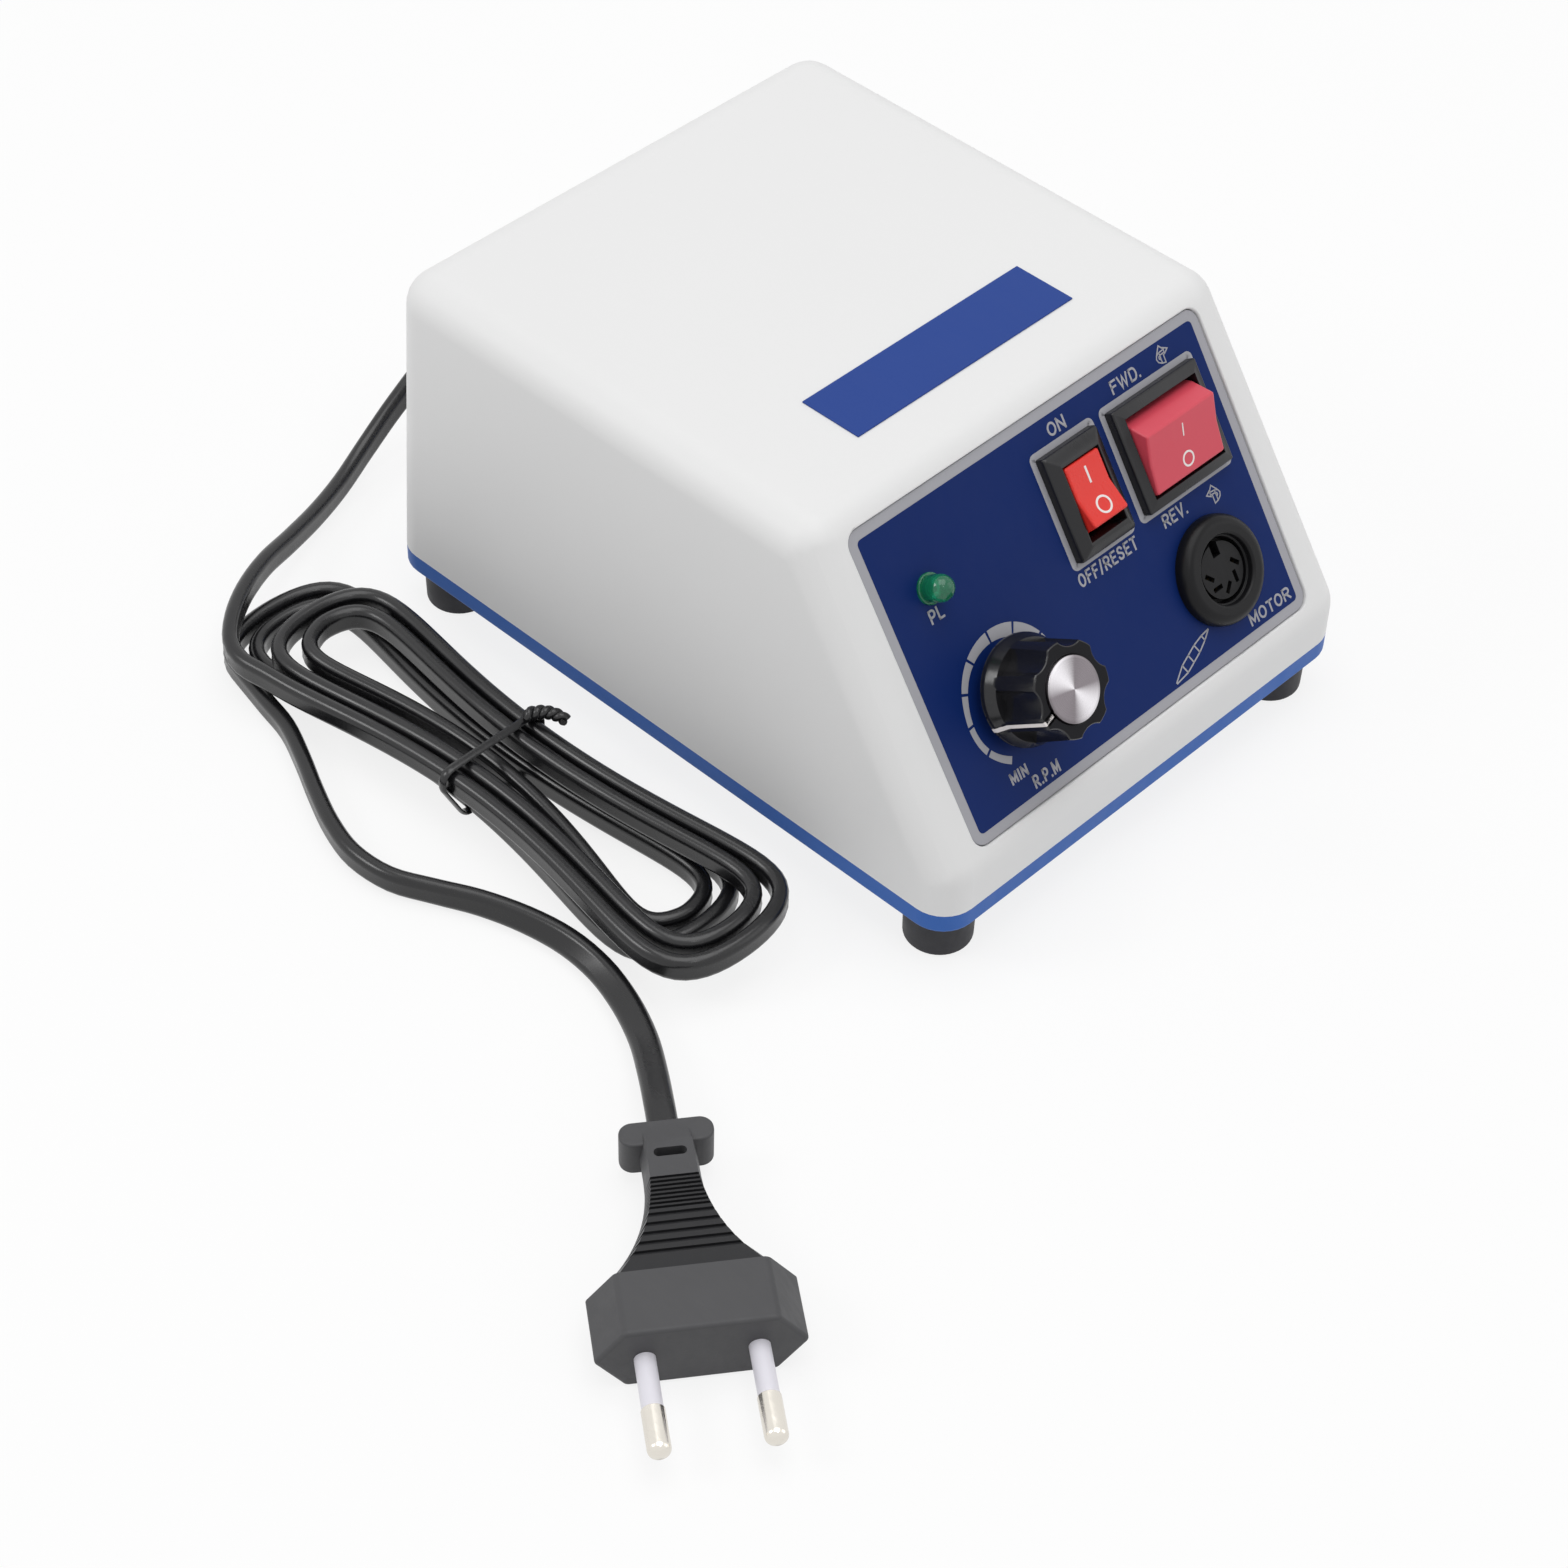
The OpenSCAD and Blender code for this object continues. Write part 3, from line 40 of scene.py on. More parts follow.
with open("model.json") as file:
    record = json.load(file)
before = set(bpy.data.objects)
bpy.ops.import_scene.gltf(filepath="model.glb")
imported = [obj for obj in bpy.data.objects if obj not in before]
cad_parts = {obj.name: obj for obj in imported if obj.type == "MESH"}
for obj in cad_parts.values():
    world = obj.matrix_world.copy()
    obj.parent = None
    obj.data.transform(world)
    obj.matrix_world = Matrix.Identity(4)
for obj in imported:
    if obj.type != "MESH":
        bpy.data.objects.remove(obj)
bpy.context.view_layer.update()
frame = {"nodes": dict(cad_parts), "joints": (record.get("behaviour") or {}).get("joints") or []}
NODES = frame["nodes"]
JOINTS = {joint["name"]: joint for joint in frame["joints"]}
MM = 0.001
TURN = 2 * math.pi
MERGE = 0.002 * MM
SLIVER = 0.001 * MM
FLAT_ANGLE = 0.3
SHARP_ANGLE = 35


# Frame of the panel: u to the right, v up the slope, and the rise above its face
KNOB_PLACE = Vector((-25.6, 18.6, 0)) * MM
PANEL_NORMAL = Vector(JOINTS["knob_turn"]["axis"]).normalized()
PANEL_UP = Vector((0, PANEL_NORMAL.z, -PANEL_NORMAL.y))
PANEL_TURN = Matrix((Vector((1, 0, 0)), PANEL_UP, PANEL_NORMAL)).transposed()
PANEL_ZERO = Vector(JOINTS["knob_turn"]["pos_m"]) - PANEL_TURN @ KNOB_PLACE
PANEL = Matrix.Translation(PANEL_ZERO) @ PANEL_TURN.to_4x4()


def panel_box(node):
    """Lowest and highest corner of a node, in the panel's frame."""
    back = PANEL.inverted()
    points = [back @ v.co for v in NODES[node].data.vertices]
    low = Vector([min(p[i] for p in points) for i in range(3)])
    high = Vector([max(p[i] for p in points) for i in range(3)])
    return low, high


def panel_place(node):
    """Where a node's axis meets the panel's face, in the panel's frame."""
    low, high = panel_box(node)
    return Vector(((low.x + high.x) / 2, (low.y + high.y) / 2, 0))


def on_panel(place, rise=0.0):
    """Matrix from a piece's own frame, flat on the panel at a place, to the object's."""
    return PANEL @ Matrix.Translation((place[0], place[1], rise))


# Frame of the plug: x from its collar to its face
PLUG_BACK = Vector((-120, -65, 6.85)) * MM
PLUG_TURN = math.radians(233.13)
PLUG = Matrix.Translation(PLUG_BACK) @ Matrix.Rotation(PLUG_TURN, 4, "Z")
PLUG_LENGTH = 46 * MM
PIN_PITCH = 18.6 * MM


def shade(red, green, blue):
    """A colour from its screen values, 0 to 255, as Blender's linear ones."""
    def linear(value):
        part = value / 255
        return part / 12.92 if part <= 0.04045 else ((part + 0.055) / 1.055) ** 2.4
    return (linear(red), linear(green), linear(blue))


def length(name, description, millimetres):
    """A size that a user can change."""
    return FloatProperty(
        name=name, description=description, default=millimetres * MM, min=0.0, unit="LENGTH", precision=5
    )


def colour(name, description, default):
    """A colour that a user can change."""
    return FloatVectorProperty(
        name=name, description=description, default=default, size=3, min=0, max=1, subtype="COLOR"
    )


class UnitSizes(bpy.types.PropertyGroup):
    """Sizes of the finish."""

    case_round: length("Case edges", "Rounding of the case's sharp edges", 0.35)
    control_round: length("Rocker edges", "Rounding of the rockers' edges", 0.5)
    bezel_round: length("Bezel edges", "Rounding of the bezels' outer edges", 0.4)
    lip_round: length("Bezel lips", "Rounding of the edges round the rockers' openings", 0.12)
    knob_round: length("Knob edges", "Rounding of the knob's front edge", 0.35)
    skirt_round: length("Skirt edge", "Rounding of the knob's skirt", 1.0)
    pointer_round: length("Pointer edges", "Rounding of the knob's pointer", 0.12)
    socket_round: length("Socket edges", "Rounding of the socket's collar", 0.25)
    foot_round: length("Foot edges", "Rounding of the feet's edges", 0.7)
    strip_round: length("Strip edges", "Rounding of the top strip's edges", 0.1)
    plate_round: length("Plate edges", "Rounding of the panel plate's edges", 0.2)
    block_round: length("Plug edges", "Rounding of the plug's block", 0.8)
    collar_round: length("Plug collar", "Rounding of the plug's collar", 0.5)
    print_rise: length("Print", "Thickness of the printed layers", 0.04)
    border: length("Border", "Width of the panel's silver border", 2.05)
    field_corner: length("Field corner", "Rounding of the printed field's corners", 1.0)
    outline: length("Outline", "Width of the silver outline round a switch", 1.25)
    outline_corner: length("Outline corner", "Rounding of the outline's corners", 1.3)
    dial_outer: length("Dial radius", "Outer radius of the dial's band", 12.1)
    dial_flare: length("Dial flare", "How much wider the dial runs at its low end", 1.05)
    dial_narrow: length("Dial narrow", "Width of the dial's band near its low end", 1.2)
    dial_wide: length("Dial wide", "Width of the dial's band at its high end", 2.94)
    cord_width: length("Cord width", "Width of the flat cord", 5.4)
    cord_thickness: length("Cord thickness", "Thickness of the flat cord", 3.2)
    cord_groove: length("Cord groove", "Depth of the groove between the cord's two cores", 0.16)
    tie_width: length("Tie width", "Width of the wire tie", 1.9)
    tie_thickness: length("Tie thickness", "Thickness of the wire tie", 0.8)
    cord_step: length("Cord step", "Distance between the cord's rings", 2.2)
    lathe_steps: IntProperty(name="Lathe steps", description="Sides of a turned piece", default=72, min=24)


class UnitColours(bpy.types.PropertyGroup):
    """Colours of the finish."""

    housing: colour("Housing", "White of the cover", shade(230, 230, 230))
    base: colour("Base", "Blue of the base", shade(46, 98, 178))
    field: colour("Panel", "Blue of the panel's print", shade(11, 37, 96))
    silver: colour("Silver", "Silver of the border and the legends", shade(164, 164, 170))
    strip: colour("Strip", "Blue of the strip on the top face", shade(40, 68, 140))
    black: colour("Black plastic", "Black of the bezels and the socket", shade(25, 25, 28))
    power: colour("Power rocker", "Red of the power rocker", shade(226, 52, 44))
    direction: colour("Direction rocker", "Red of the direction rocker", shade(212, 74, 90))
    lamp: colour("Lamp", "Green of the pilot lamp", shade(34, 150, 108))
    knob: colour("Knob", "Black of the knob", shade(26, 26, 29))
    rubber: colour("Feet", "Black of the rubber feet", shade(46, 46, 50))
    cord: colour("Cord", "Black of the cord", shade(23, 23, 25))
    plug: colour("Plug", "Dark grey of the plug", shade(72, 72, 74))
    rib: colour("Plug ribs", "Black of the plug's ribbed neck", shade(36, 36, 38))
    sleeve: colour("Sleeves", "White of the pins' sleeves", shade(228, 226, 234))


def sizes():
    return bpy.context.scene.unit_sizes


def colours():
    return bpy.context.scene.unit_colours


# Modelling helpers

def pick(*pieces):
    """Selects only these pieces, with the first one active."""
    bpy.ops.object.select_all(action="DESELECT")
    for piece in pieces:
        piece.select_set(True)
    bpy.context.view_layer.objects.active = pieces[0]


@contextmanager
def editing(piece):
    """Edit mode on one piece, with all of it selected."""
    pick(piece)
    bpy.ops.object.mode_set(mode="EDIT")
    bpy.ops.mesh.select_all(action="SELECT")
    yield
    bpy.ops.object.mode_set(mode="OBJECT")


def apply_modifier(piece, kind, **settings):
    """Adds a modifier with these settings and applies it."""
    pick(piece)
    modifier = piece.modifiers.new(kind.title(), kind)
    for name, value in settings.items():
        setattr(modifier, name, value)
    bpy.ops.object.modifier_apply(modifier=modifier.name)


def smooth(piece, angle=SHARP_ANGLE):
    """Smooth shading that keeps flat faces flat and edges above the angle sharp."""
    pick(piece)
    bpy.ops.object.shade_smooth_by_angle(angle=math.radians(angle))
    apply_modifier(piece, "WEIGHTED_NORMAL", keep_sharp=True, weight=100)


def round_edges(piece, width, angle=SHARP_ANGLE, segments=3):
    """Rounds every edge that is sharper than the angle."""
    apply_modifier(
        piece, "BEVEL", width=width, segments=segments, limit_method="ANGLE",
        angle_limit=math.radians(angle), use_clamp_overlap=True, miter_outer="MITER_ARC",
    )
    smooth(piece)


def choose(piece, kind, test):
    """Selects only the vertices, edges or faces that pass a test, in edit mode."""
    bpy.ops.mesh.select_mode(type=kind)
    bpy.ops.mesh.select_all(action="DESELECT")
    mesh = bmesh.from_edit_mesh(piece.data)
    for part in {"VERT": mesh.verts, "EDGE": mesh.edges, "FACE": mesh.faces}[kind]:
        part.select = test(part)
    bmesh.update_edit_mesh(piece.data)


def round_where(piece, frame_there, test, width, segments=4, angle=SHARP_ANGLE, clamp=False):
    """Rounds the sharp outer edges whose middle, seen in a frame, passes a test."""
    inward = frame_there.inverted()

    def chosen(edge):
        middle = (edge.verts[0].co + edge.verts[1].co) / 2
        sharp = edge.is_convex and edge.calc_face_angle(0) > math.radians(angle)
        return sharp and test(inward @ middle)

    with editing(piece):
        choose(piece, "EDGE", chosen)
        bpy.ops.mesh.bevel(offset=width, segments=segments, clamp_overlap=clamp)
        bpy.ops.mesh.select_mode(type="VERT")
        bpy.ops.mesh.select_all(action="SELECT")
        bpy.ops.mesh.remove_doubles(threshold=MERGE)


def linked(name, data):
    """A new object in the scene."""
    made = bpy.data.objects.new(name, data)
    bpy.context.scene.collection.objects.link(made)
    return made


def copy_of(node_name, name):
    """A merged copy of a node's mesh, with its flat faces whole."""
    piece = linked(name, NODES[node_name].data.copy())
    piece.data.name = name
    piece.data.materials.clear()
    pick(piece)
    bpy.ops.mesh.customdata_custom_splitnormals_clear()
    with editing(piece):
        bpy.ops.mesh.remove_doubles(threshold=MERGE)
        bpy.ops.mesh.dissolve_limited(angle_limit=math.radians(FLAT_ANGLE))
    return piece


def mesh_piece(name, points, faces, edges=()):
    """A piece from its points and its faces or edges."""
    mesh = bpy.data.meshes.new(name)
    mesh.from_pydata([tuple(p) for p in points], edges, faces)
    mesh.update()
    return linked(name, mesh)


def join(name, pieces):
    """One piece from several."""
    pick(*pieces)
    if len(pieces) > 1:
        bpy.ops.object.join()
    joined = bpy.context.view_layer.objects.active
    joined.name = name
    joined.data.name = name
    return joined


def lathe(name, outline, place, closed=True):
    """Spins an outline of radius and height pairs, in millimetres, about a place's own z axis."""
    points = [(r * MM, 0, z * MM) for r, z in outline]
    count = len(points)
    edges = [(i, (i + 1) % count) for i in range(count if closed else count - 1)]
    piece = mesh_piece(name, points, [], edges)
    with editing(piece):
        bpy.ops.mesh.spin(steps=sizes().lathe_steps, angle=TURN, center=(0, 0, 0), axis=(0, 0, 1))
        bpy.ops.mesh.select_all(action="SELECT")
        bpy.ops.mesh.remove_doubles(threshold=MERGE)
        bpy.ops.mesh.dissolve_degenerate(threshold=SLIVER)
        bpy.ops.mesh.select_all(action="SELECT")
        bpy.ops.mesh.normals_make_consistent(inside=False)
    piece.data.transform(place)
    return piece


def arc(centre, radius, start, stop, steps):
    """Points of an arc between two angles in degrees."""
    angles = [math.radians(start + (stop - start) * i / steps) for i in range(steps + 1)]
    return [(centre[0] + radius * math.cos(a), centre[1] + radius * math.sin(a)) for a in angles]


def settle(piece, body, slot, look, *nodes):
    """Gives a piece its finish and body, and hides the nodes that it stands for. The slot is not used."""
    piece.data.materials.clear()
    piece.data.materials.append(finish(look))
    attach(piece, body)
    if nodes:
        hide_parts(*nodes)
    return piece


def paint(piece, look, test):
    """Gives the faces that pass a test a second finish."""
    piece.data.materials.append(finish(look))
    for face in piece.data.polygons:
        face.material_index = 1 if test(face) else 0


def dressed(node_name, name, body, slot, look, width=None, angle=SHARP_ANGLE, segments=3):
    """A node's copy with its finish, and with its sharp edges rounded if a width is given."""
    piece = copy_of(node_name, name)
    if width:
        round_edges(piece, width, angle, segments)
    else:
        smooth(piece)
    return settle(piece, body, slot, look, node_name)


# Materials

def wire(tree, made, inputs):
    """Gives a node its inputs, as values or links."""
    for name, value in inputs.items():
        if isinstance(value, bpy.types.NodeSocket):
            tree.links.new(value, made.inputs[name])
        else:
            made.inputs[name].default_value = value


def node(tree, kind, inputs=None, **settings):
    """Adds a node with its settings and its inputs."""
    made = tree.nodes.new(kind)
    for name, value in settings.items():
        setattr(made, name, value)
    wire(tree, made, inputs or {})
    return made


def maths(tree, operation, *values):
    """The result of an operation on values or links."""
    return node(tree, "ShaderNodeMath", dict(enumerate(values)), operation=operation).outputs[0]


def noise(tree, place, scale, detail):
    """Noise over a place."""
    inputs = {"Vector": place, "Scale": scale, "Detail": detail}
    return node(tree, "ShaderNodeTexNoise", inputs).outputs["Fac"]


def group(name, inputs, outputs):
    """An empty shader group with named sockets, and its two ends."""
    tree = bpy.data.node_groups.new(name, "ShaderNodeTree")
    for label, kind in inputs:
        tree.interface.new_socket(name=label, in_out="INPUT", socket_type=f"NodeSocket{kind}")
    for label, kind in outputs:
        tree.interface.new_socket(name=label, in_out="OUTPUT", socket_type=f"NodeSocket{kind}")
    return tree, tree.nodes.new("NodeGroupInput").outputs, tree.nodes.new("NodeGroupOutput")


def grain_group():
    """Moulded grain: fine noise, as a normal."""
    tree, given, end = group(
        "Moulded grain",
        [("Vector", "Vector"), ("Scale", "Float"), ("Depth", "Float")],
        [("Normal", "Vector")],
    )
    fine = noise(tree, given["Vector"], given["Scale"], 3.0)
    inputs = {"Height": fine, "Strength": given["Depth"], "Distance": 0.00005}
    wire(tree, end, {"Normal": node(tree, "ShaderNodeBump", inputs).outputs["Normal"]})
    return tree


def tone_group():
    """Slow drift of a colour's brightness over the surface."""
    tree, given, end = group(
        "Tone drift",
        [("Vector", "Vector"), ("Colour", "Color"), ("Scale", "Float"), ("Amount", "Float")],
        [("Colour", "Color")],
    )
    slow = noise(tree, given["Vector"], given["Scale"], 5.0)
    swing = maths(tree, "MULTIPLY", maths(tree, "SUBTRACT", slow, 0.5), given["Amount"])
    inputs = {"Color": given["Colour"], "Value": maths(tree, "ADD", swing, 1.0)}
    wire(tree, end, {"Colour": node(tree, "ShaderNodeHueSaturation", inputs).outputs["Color"]})
    return tree


def handling_group():
    """Roughness between two values, from smudges and fine rubbed streaks."""
    tree, given, end = group(
        "Handling marks",
        [("Vector", "Vector"), ("Scale", "Float"), ("Low", "Float"), ("High", "Float")],
        [("Roughness", "Float")],
    )
    smudge = noise(tree, given["Vector"], given["Scale"], 6.0)
    stretch = node(tree, "ShaderNodeMapping", {"Vector": given["Vector"], "Scale": (9.0, 1.2, 5.0)})
    streak = noise(tree, stretch.outputs["Vector"], given["Scale"], 4.0)
    inputs = {
        "Value": maths(tree, "ADD", smudge, streak), "From Min": 0.7, "From Max": 1.3,
        "To Min": given["Low"], "To Max": given["High"],
    }
    wire(tree, end, {"Roughness": node(tree, "ShaderNodeMapRange", inputs).outputs["Result"]})
    return tree


def band_group():
    """Even bands across one direction, as a mask."""
    tree, given, end = group("Layer bands", [("Vector", "Vector"), ("Scale", "Float")], [("Mask", "Float")])
    inputs = {"Vector": given["Vector"], "Scale": given["Scale"], "Distortion": 0.4, "Detail": 1.0}
    wave = node(tree, "ShaderNodeTexWave", inputs, wave_type="BANDS", bands_direction="Z")
    wire(tree, end, {"Mask": wave.outputs["Fac"]})
    return tree


GROUP_MAKERS = {"grain": grain_group, "tone": tone_group, "handling": handling_group, "bands": band_group}
GROUPS = {}


def effect(tree, name, inputs):
    """The result of a shared effect, whose group is built the first time that it is asked for."""
    if name not in GROUPS:
        GROUPS[name] = GROUP_MAKERS[name]()
    return node(tree, "ShaderNodeGroup", inputs, node_tree=GROUPS[name]).outputs[0]


def cleared(block):
    """The emptied node tree of a material or a world."""
    block.use_nodes = True
    block.node_tree.nodes.clear()
    return block.node_tree


def blank(name):
    """A material with only its shader, and the object's own coordinates."""
    made = bpy.data.materials.new(name)
    tree = cleared(made)
    shader = tree.nodes.new("ShaderNodeBsdfPrincipled")
    end = tree.nodes.new("ShaderNodeOutputMaterial")
    tree.links.new(shader.outputs["BSDF"], end.inputs["Surface"])
    place = tree.nodes.new("ShaderNodeTexCoord").outputs["Object"]
    return made, tree, shader, place


def handled(tree, place, scale, rough):
    """Roughness of a handled surface."""
    return effect(tree, "handling", {"Vector": place, "Scale": scale, "Low": rough[0], "High": rough[1]})


# Plain finishes: a colour or the setting that holds it, the roughness from and to, scale and depth
# of the grain, scale and amount of the tone's drift, scale of the smudges, and other inputs
SPECULAR = "Specular IOR Level"
CLEAR = "Transmission Weight"
PLAIN_FINISHES = {
    "Moulded white": ("housing", (0.42, 0.52), (2200, 0.16), (14, 0.03), 30, {SPECULAR: 0.35}),
    "Moulded blue": ("base", (0.42, 0.54), (2200, 0.18), (20, 0.06), 40, {SPECULAR: 0.3}),
    "Panel print": ("field", (0.42, 0.54), (2600, 0.1), (30, 0.1), 45, {SPECULAR: 0.12}),
    "Silver ink": ("silver", (0.42, 0.56), (3000, 0.18), (60, 0.08), 80, {SPECULAR: 0.3}),
    "Strip film": ("strip", (0.4, 0.52), (2600, 0.08), (30, 0.08), 45, {SPECULAR: 0.15}),
    "Satin black": ("black", (0.24, 0.38), (2400, 0.12), (60, 0.14), 90, {SPECULAR: 0.4}),
    "Gloss black": ("knob", (0.14, 0.26), (900, 0.05), (60, 0.12), 90, {SPECULAR: 0.45}),
    "Matt black": ("knob", (0.4, 0.52), (1800, 0.2), (60, 0.12), 90, {SPECULAR: 0.1}),
    "Socket black": ((20, 20, 22), (0.3, 0.44), (2400, 0.12), (60, 0.14), 90, {SPECULAR: 0.2}),
    "Orange red": ("power", (0.24, 0.34), (1600, 0.06), (60, 0.06), 90, {SPECULAR: 0.35}),
    "Dull red": ("direction", (0.28, 0.42), (1600, 0.08), (60, 0.08), 90, {SPECULAR: 0.4}),
    "White ink": ((236, 230, 228), (0.35, 0.5), (3000, 0.12), (90, 0.05), 90, {}),
    "Green lens": ("lamp", (0.04, 0.1), (700, 0.03), (200, 0.12), 120, {CLEAR: 0.6, "IOR": 1.5}),
    "Lamp cup": ((70, 150, 108), (0.3, 0.4), (900, 0.05), (90, 0.05), 90, {}),
    "Rubber": ("rubber", (0.5, 0.66), (1800, 0.3), (80, 0.2), 90, {SPECULAR: 0.35}),
    "Cord jacket": ("cord", (0.2, 0.32), (1400, 0.04), (120, 0.22), 70, {SPECULAR: 0.52}),
    "Moulded plug": ("plug", (0.44, 0.58), (1500, 0.4), (120, 0.16), 90, {SPECULAR: 0.35}),
    "Plug ribs": ("rib", (0.34, 0.46), (1500, 0.2), (120, 0.16), 90, {SPECULAR: 0.3}),
    "Sleeve white": ("sleeve", (0.3, 0.42), (1600, 0.08), (90, 0.04), 90, {}),
    "Nickel": ((226, 221, 212), (0.14, 0.3), (1200, 0.06), (120, 0.08), 160, {"Metallic": 1.0}),
    "Plated steel": ((198, 200, 204), (0.22, 0.4), (1500, 0.1), (90, 0.1), 140, {"Metallic": 1.0}),
    "Brass": ((214, 178, 98), (0.2, 0.38), (1500, 0.08), (90, 0.14), 140, {"Metallic": 1.0}),
    "Sink aluminium": ((122, 124, 128), (0.36, 0.52), (1700, 0.14), (70, 0.1), 120, {"Metallic": 0.9}),
    "Component black": ((34, 34, 36), (0.4, 0.6), (2000, 0.2), (80, 0.12), 120, {}),
    "Insulator": ((20, 20, 22), (0.36, 0.52), (2200, 0.16), (80, 0.12), 120, {SPECULAR: 0.2}),
    "Terminal green": ((44, 128, 84), (0.36, 0.5), (2000, 0.14), (60, 0.08), 90, {}),
    "Fuse glass": ((222, 232, 232), (0.03, 0.08), (600, 0.02), (60, 0.02), 90, {CLEAR: 0.8, "IOR": 1.48}),
}


def plain(name, tint, rough, grain, tone, smudge, inputs):
    """Drifting colour, roughness from handling marks and a fine grain."""
    made, tree, shader, place = blank(name)
    base = getattr(colours(), tint) if isinstance(tint, str) else shade(*tint)
    drift = {"Vector": place, "Colour": (*base, 1), "Scale": tone[0], "Amount": tone[1]}
    pores = {"Vector": place, "Scale": grain[0], "Depth": grain[1]}
    wire(tree, shader, {
        "Base Color": effect(tree, "tone", drift), "Roughness": handled(tree, place, smudge, rough),
        "Normal": effect(tree, "grain", pores), **inputs,
    })
    return made


# Banded finishes: colours of the layers and the seams, scale, turn, roughness and metal
UPRIGHT = (math.pi / 2, 0, 0)
ACROSS = (0, math.pi / 2, 0)
BANDED_FINISHES = {
    "Core steel": ((120, 124, 130), (60, 62, 68), 500, UPRIGHT, (0.35, 0.5), 0.8),
    "Copper turns": ((190, 112, 62), (90, 44, 24), 450, (0, 0, 0), (0.25, 0.4), 0.85),
    "Board green": ((34, 92, 54), (24, 72, 42), 90, ACROSS, (0.3, 0.42), 0.0),
}
BAND_SMUDGE = 90


def ramp(tree, value, first, last):
    """A colour between two, given as screen values."""
    made = node(tree, "ShaderNodeValToRGB", {"Fac": value})
    for element, tint in zip(made.color_ramp.elements, (first, last)):
        element.color = (*shade(*tint), 1)
    return made.outputs["Color"]


def banded(name, tint, seam, pitch, turn, rough, metallic):
    """Stacked layers, such as laminations or turns of wire."""
    made, tree, shader, place = blank(name)
    turned = node(tree, "ShaderNodeMapping", {"Vector": place, "Rotation": turn})
    layers = effect(tree, "bands", {"Vector": turned.outputs["Vector"], "Scale": pitch})
    bump = node(tree, "ShaderNodeBump", {"Height": layers, "Strength": 0.5, "Distance": 0.0001})
    wire(tree, shader, {
        "Base Color": ramp(tree, layers, seam, tint),
        "Roughness": handled(tree, place, BAND_SMUDGE, rough),
        "Normal": bump.outputs["Normal"], "Metallic": metallic,
    })
    return made


SPUN_AND_PAINTED = "Spun aluminium with painted sheen"
# Painted highlight and painted shade on the spun cap: its colour swings twice round by angle between these
# two tones, offset by this lag
PAINTED_SHEEN_LAG = math.radians(230)
PAINTED_SHADE_TONE = (126, 120, 124)
PAINTED_HIGHLIGHT_TONE = (226, 223, 227)


def spun():
    """Turned aluminium: fine rings about the axis with anisotropic gloss along them, and a painted
    highlight and painted shade in its colour, which fan out from the centre by angle and turn with the cap.
    """
    made, tree, shader, place = blank(SPUN_AND_PAINTED)
    chart = node(tree, "ShaderNodeUVMap", uv_map="Rings")
    parts = node(tree, "ShaderNodeSeparateXYZ", {"Vector": chart.outputs["UV"]})
    inputs = {"W": parts.outputs["Y"], "Scale": 90.0, "Detail": 4.0}
    rings = node(tree, "ShaderNodeTexNoise", inputs, noise_dimensions="1D").outputs["Fac"]
    bump = node(tree, "ShaderNodeBump", {"Height": rings, "Strength": 0.12, "Distance": 0.00003})
    inputs = {"Value": rings, "From Min": 0.3, "From Max": 0.7, "To Min": 0.24, "To Max": 0.36}
    level = node(tree, "ShaderNodeMapRange", inputs)
    # Painted highlight: the colour runs between the painted shade and the painted highlight by angle round
    # the cap, fixed to the cap
    painted_fan_phase = maths(tree, "MULTIPLY", parts.outputs["X"], 2 * TURN)
    swing = maths(tree, "COSINE", maths(tree, "SUBTRACT", painted_fan_phase, PAINTED_SHEEN_LAG))
    painted_sheen = node(tree, "ShaderNodeMapRange", {"Value": swing, "From Min": -0.3, "From Max": 1.0})
    tint = ramp(tree, painted_sheen.outputs["Result"], PAINTED_SHADE_TONE, PAINTED_HIGHLIGHT_TONE)
    line = node(tree, "ShaderNodeTangent", direction_type="UV_MAP", uv_map="Rings")
    wire(tree, shader, {
        "Base Color": effect(tree, "tone", {"Vector": place, "Colour": tint, "Scale": 120, "Amount": 0.08}),
        "Roughness": level.outputs["Result"], "Normal": bump.outputs["Normal"],
        "Tangent": line.outputs["Tangent"], "Metallic": 1.0, "Anisotropic": 0.8,
    })
    return made


FINISHES = {}


def finish(name):
    """A finish by its name, made the first time that it is asked for."""
    if name not in FINISHES:
        if name in PLAIN_FINISHES:
            FINISHES[name] = plain(name, *PLAIN_FINISHES[name])
        elif name in BANDED_FINISHES:
            FINISHES[name] = banded(name, *BANDED_FINISHES[name])
        else:
            FINISHES[name] = spun()
    return FINISHES[name]


# Stage

CAMERA_PLACE = Vector((-394.90, -345.52, 478.33)) * MM
CAMERA_RIGHT = Vector((0.69634, -0.71737, 0.02215))
CAMERA_UP = Vector((0.49354, 0.50102, 0.71091))
CAMERA_AHEAD = Vector((0.52108, 0.48410, -0.70294))
FOCAL_PIXELS = 3610.9
FRAME_PIXELS = 1568
SENSOR = 36.0
FLOOR_HALF = 4.0
FLOOR_DROP = 0.1 * MM
FLOOR_GLOW = 0.82
SOFT_LIGHT = 0.47
# Softboxes: name, place, what they face, size and power
SOFTBOXES = [
    ("overhead", (0.05, -0.05, 1.4), (0, 0, 0.03), 1.2, 9.2),
    ("front_right", (0.9, -1.0, 0.7), (0, 0, 0.04), 0.9, 1.6),
    ("sparkle", (-0.35, -0.75, 1.15), (0, 0, 0.04), 0.12, 0.7),
    ("left_high", (-1.1, 0.8, 1.1), (0, 0, 0.04), 0.5, 5),
]


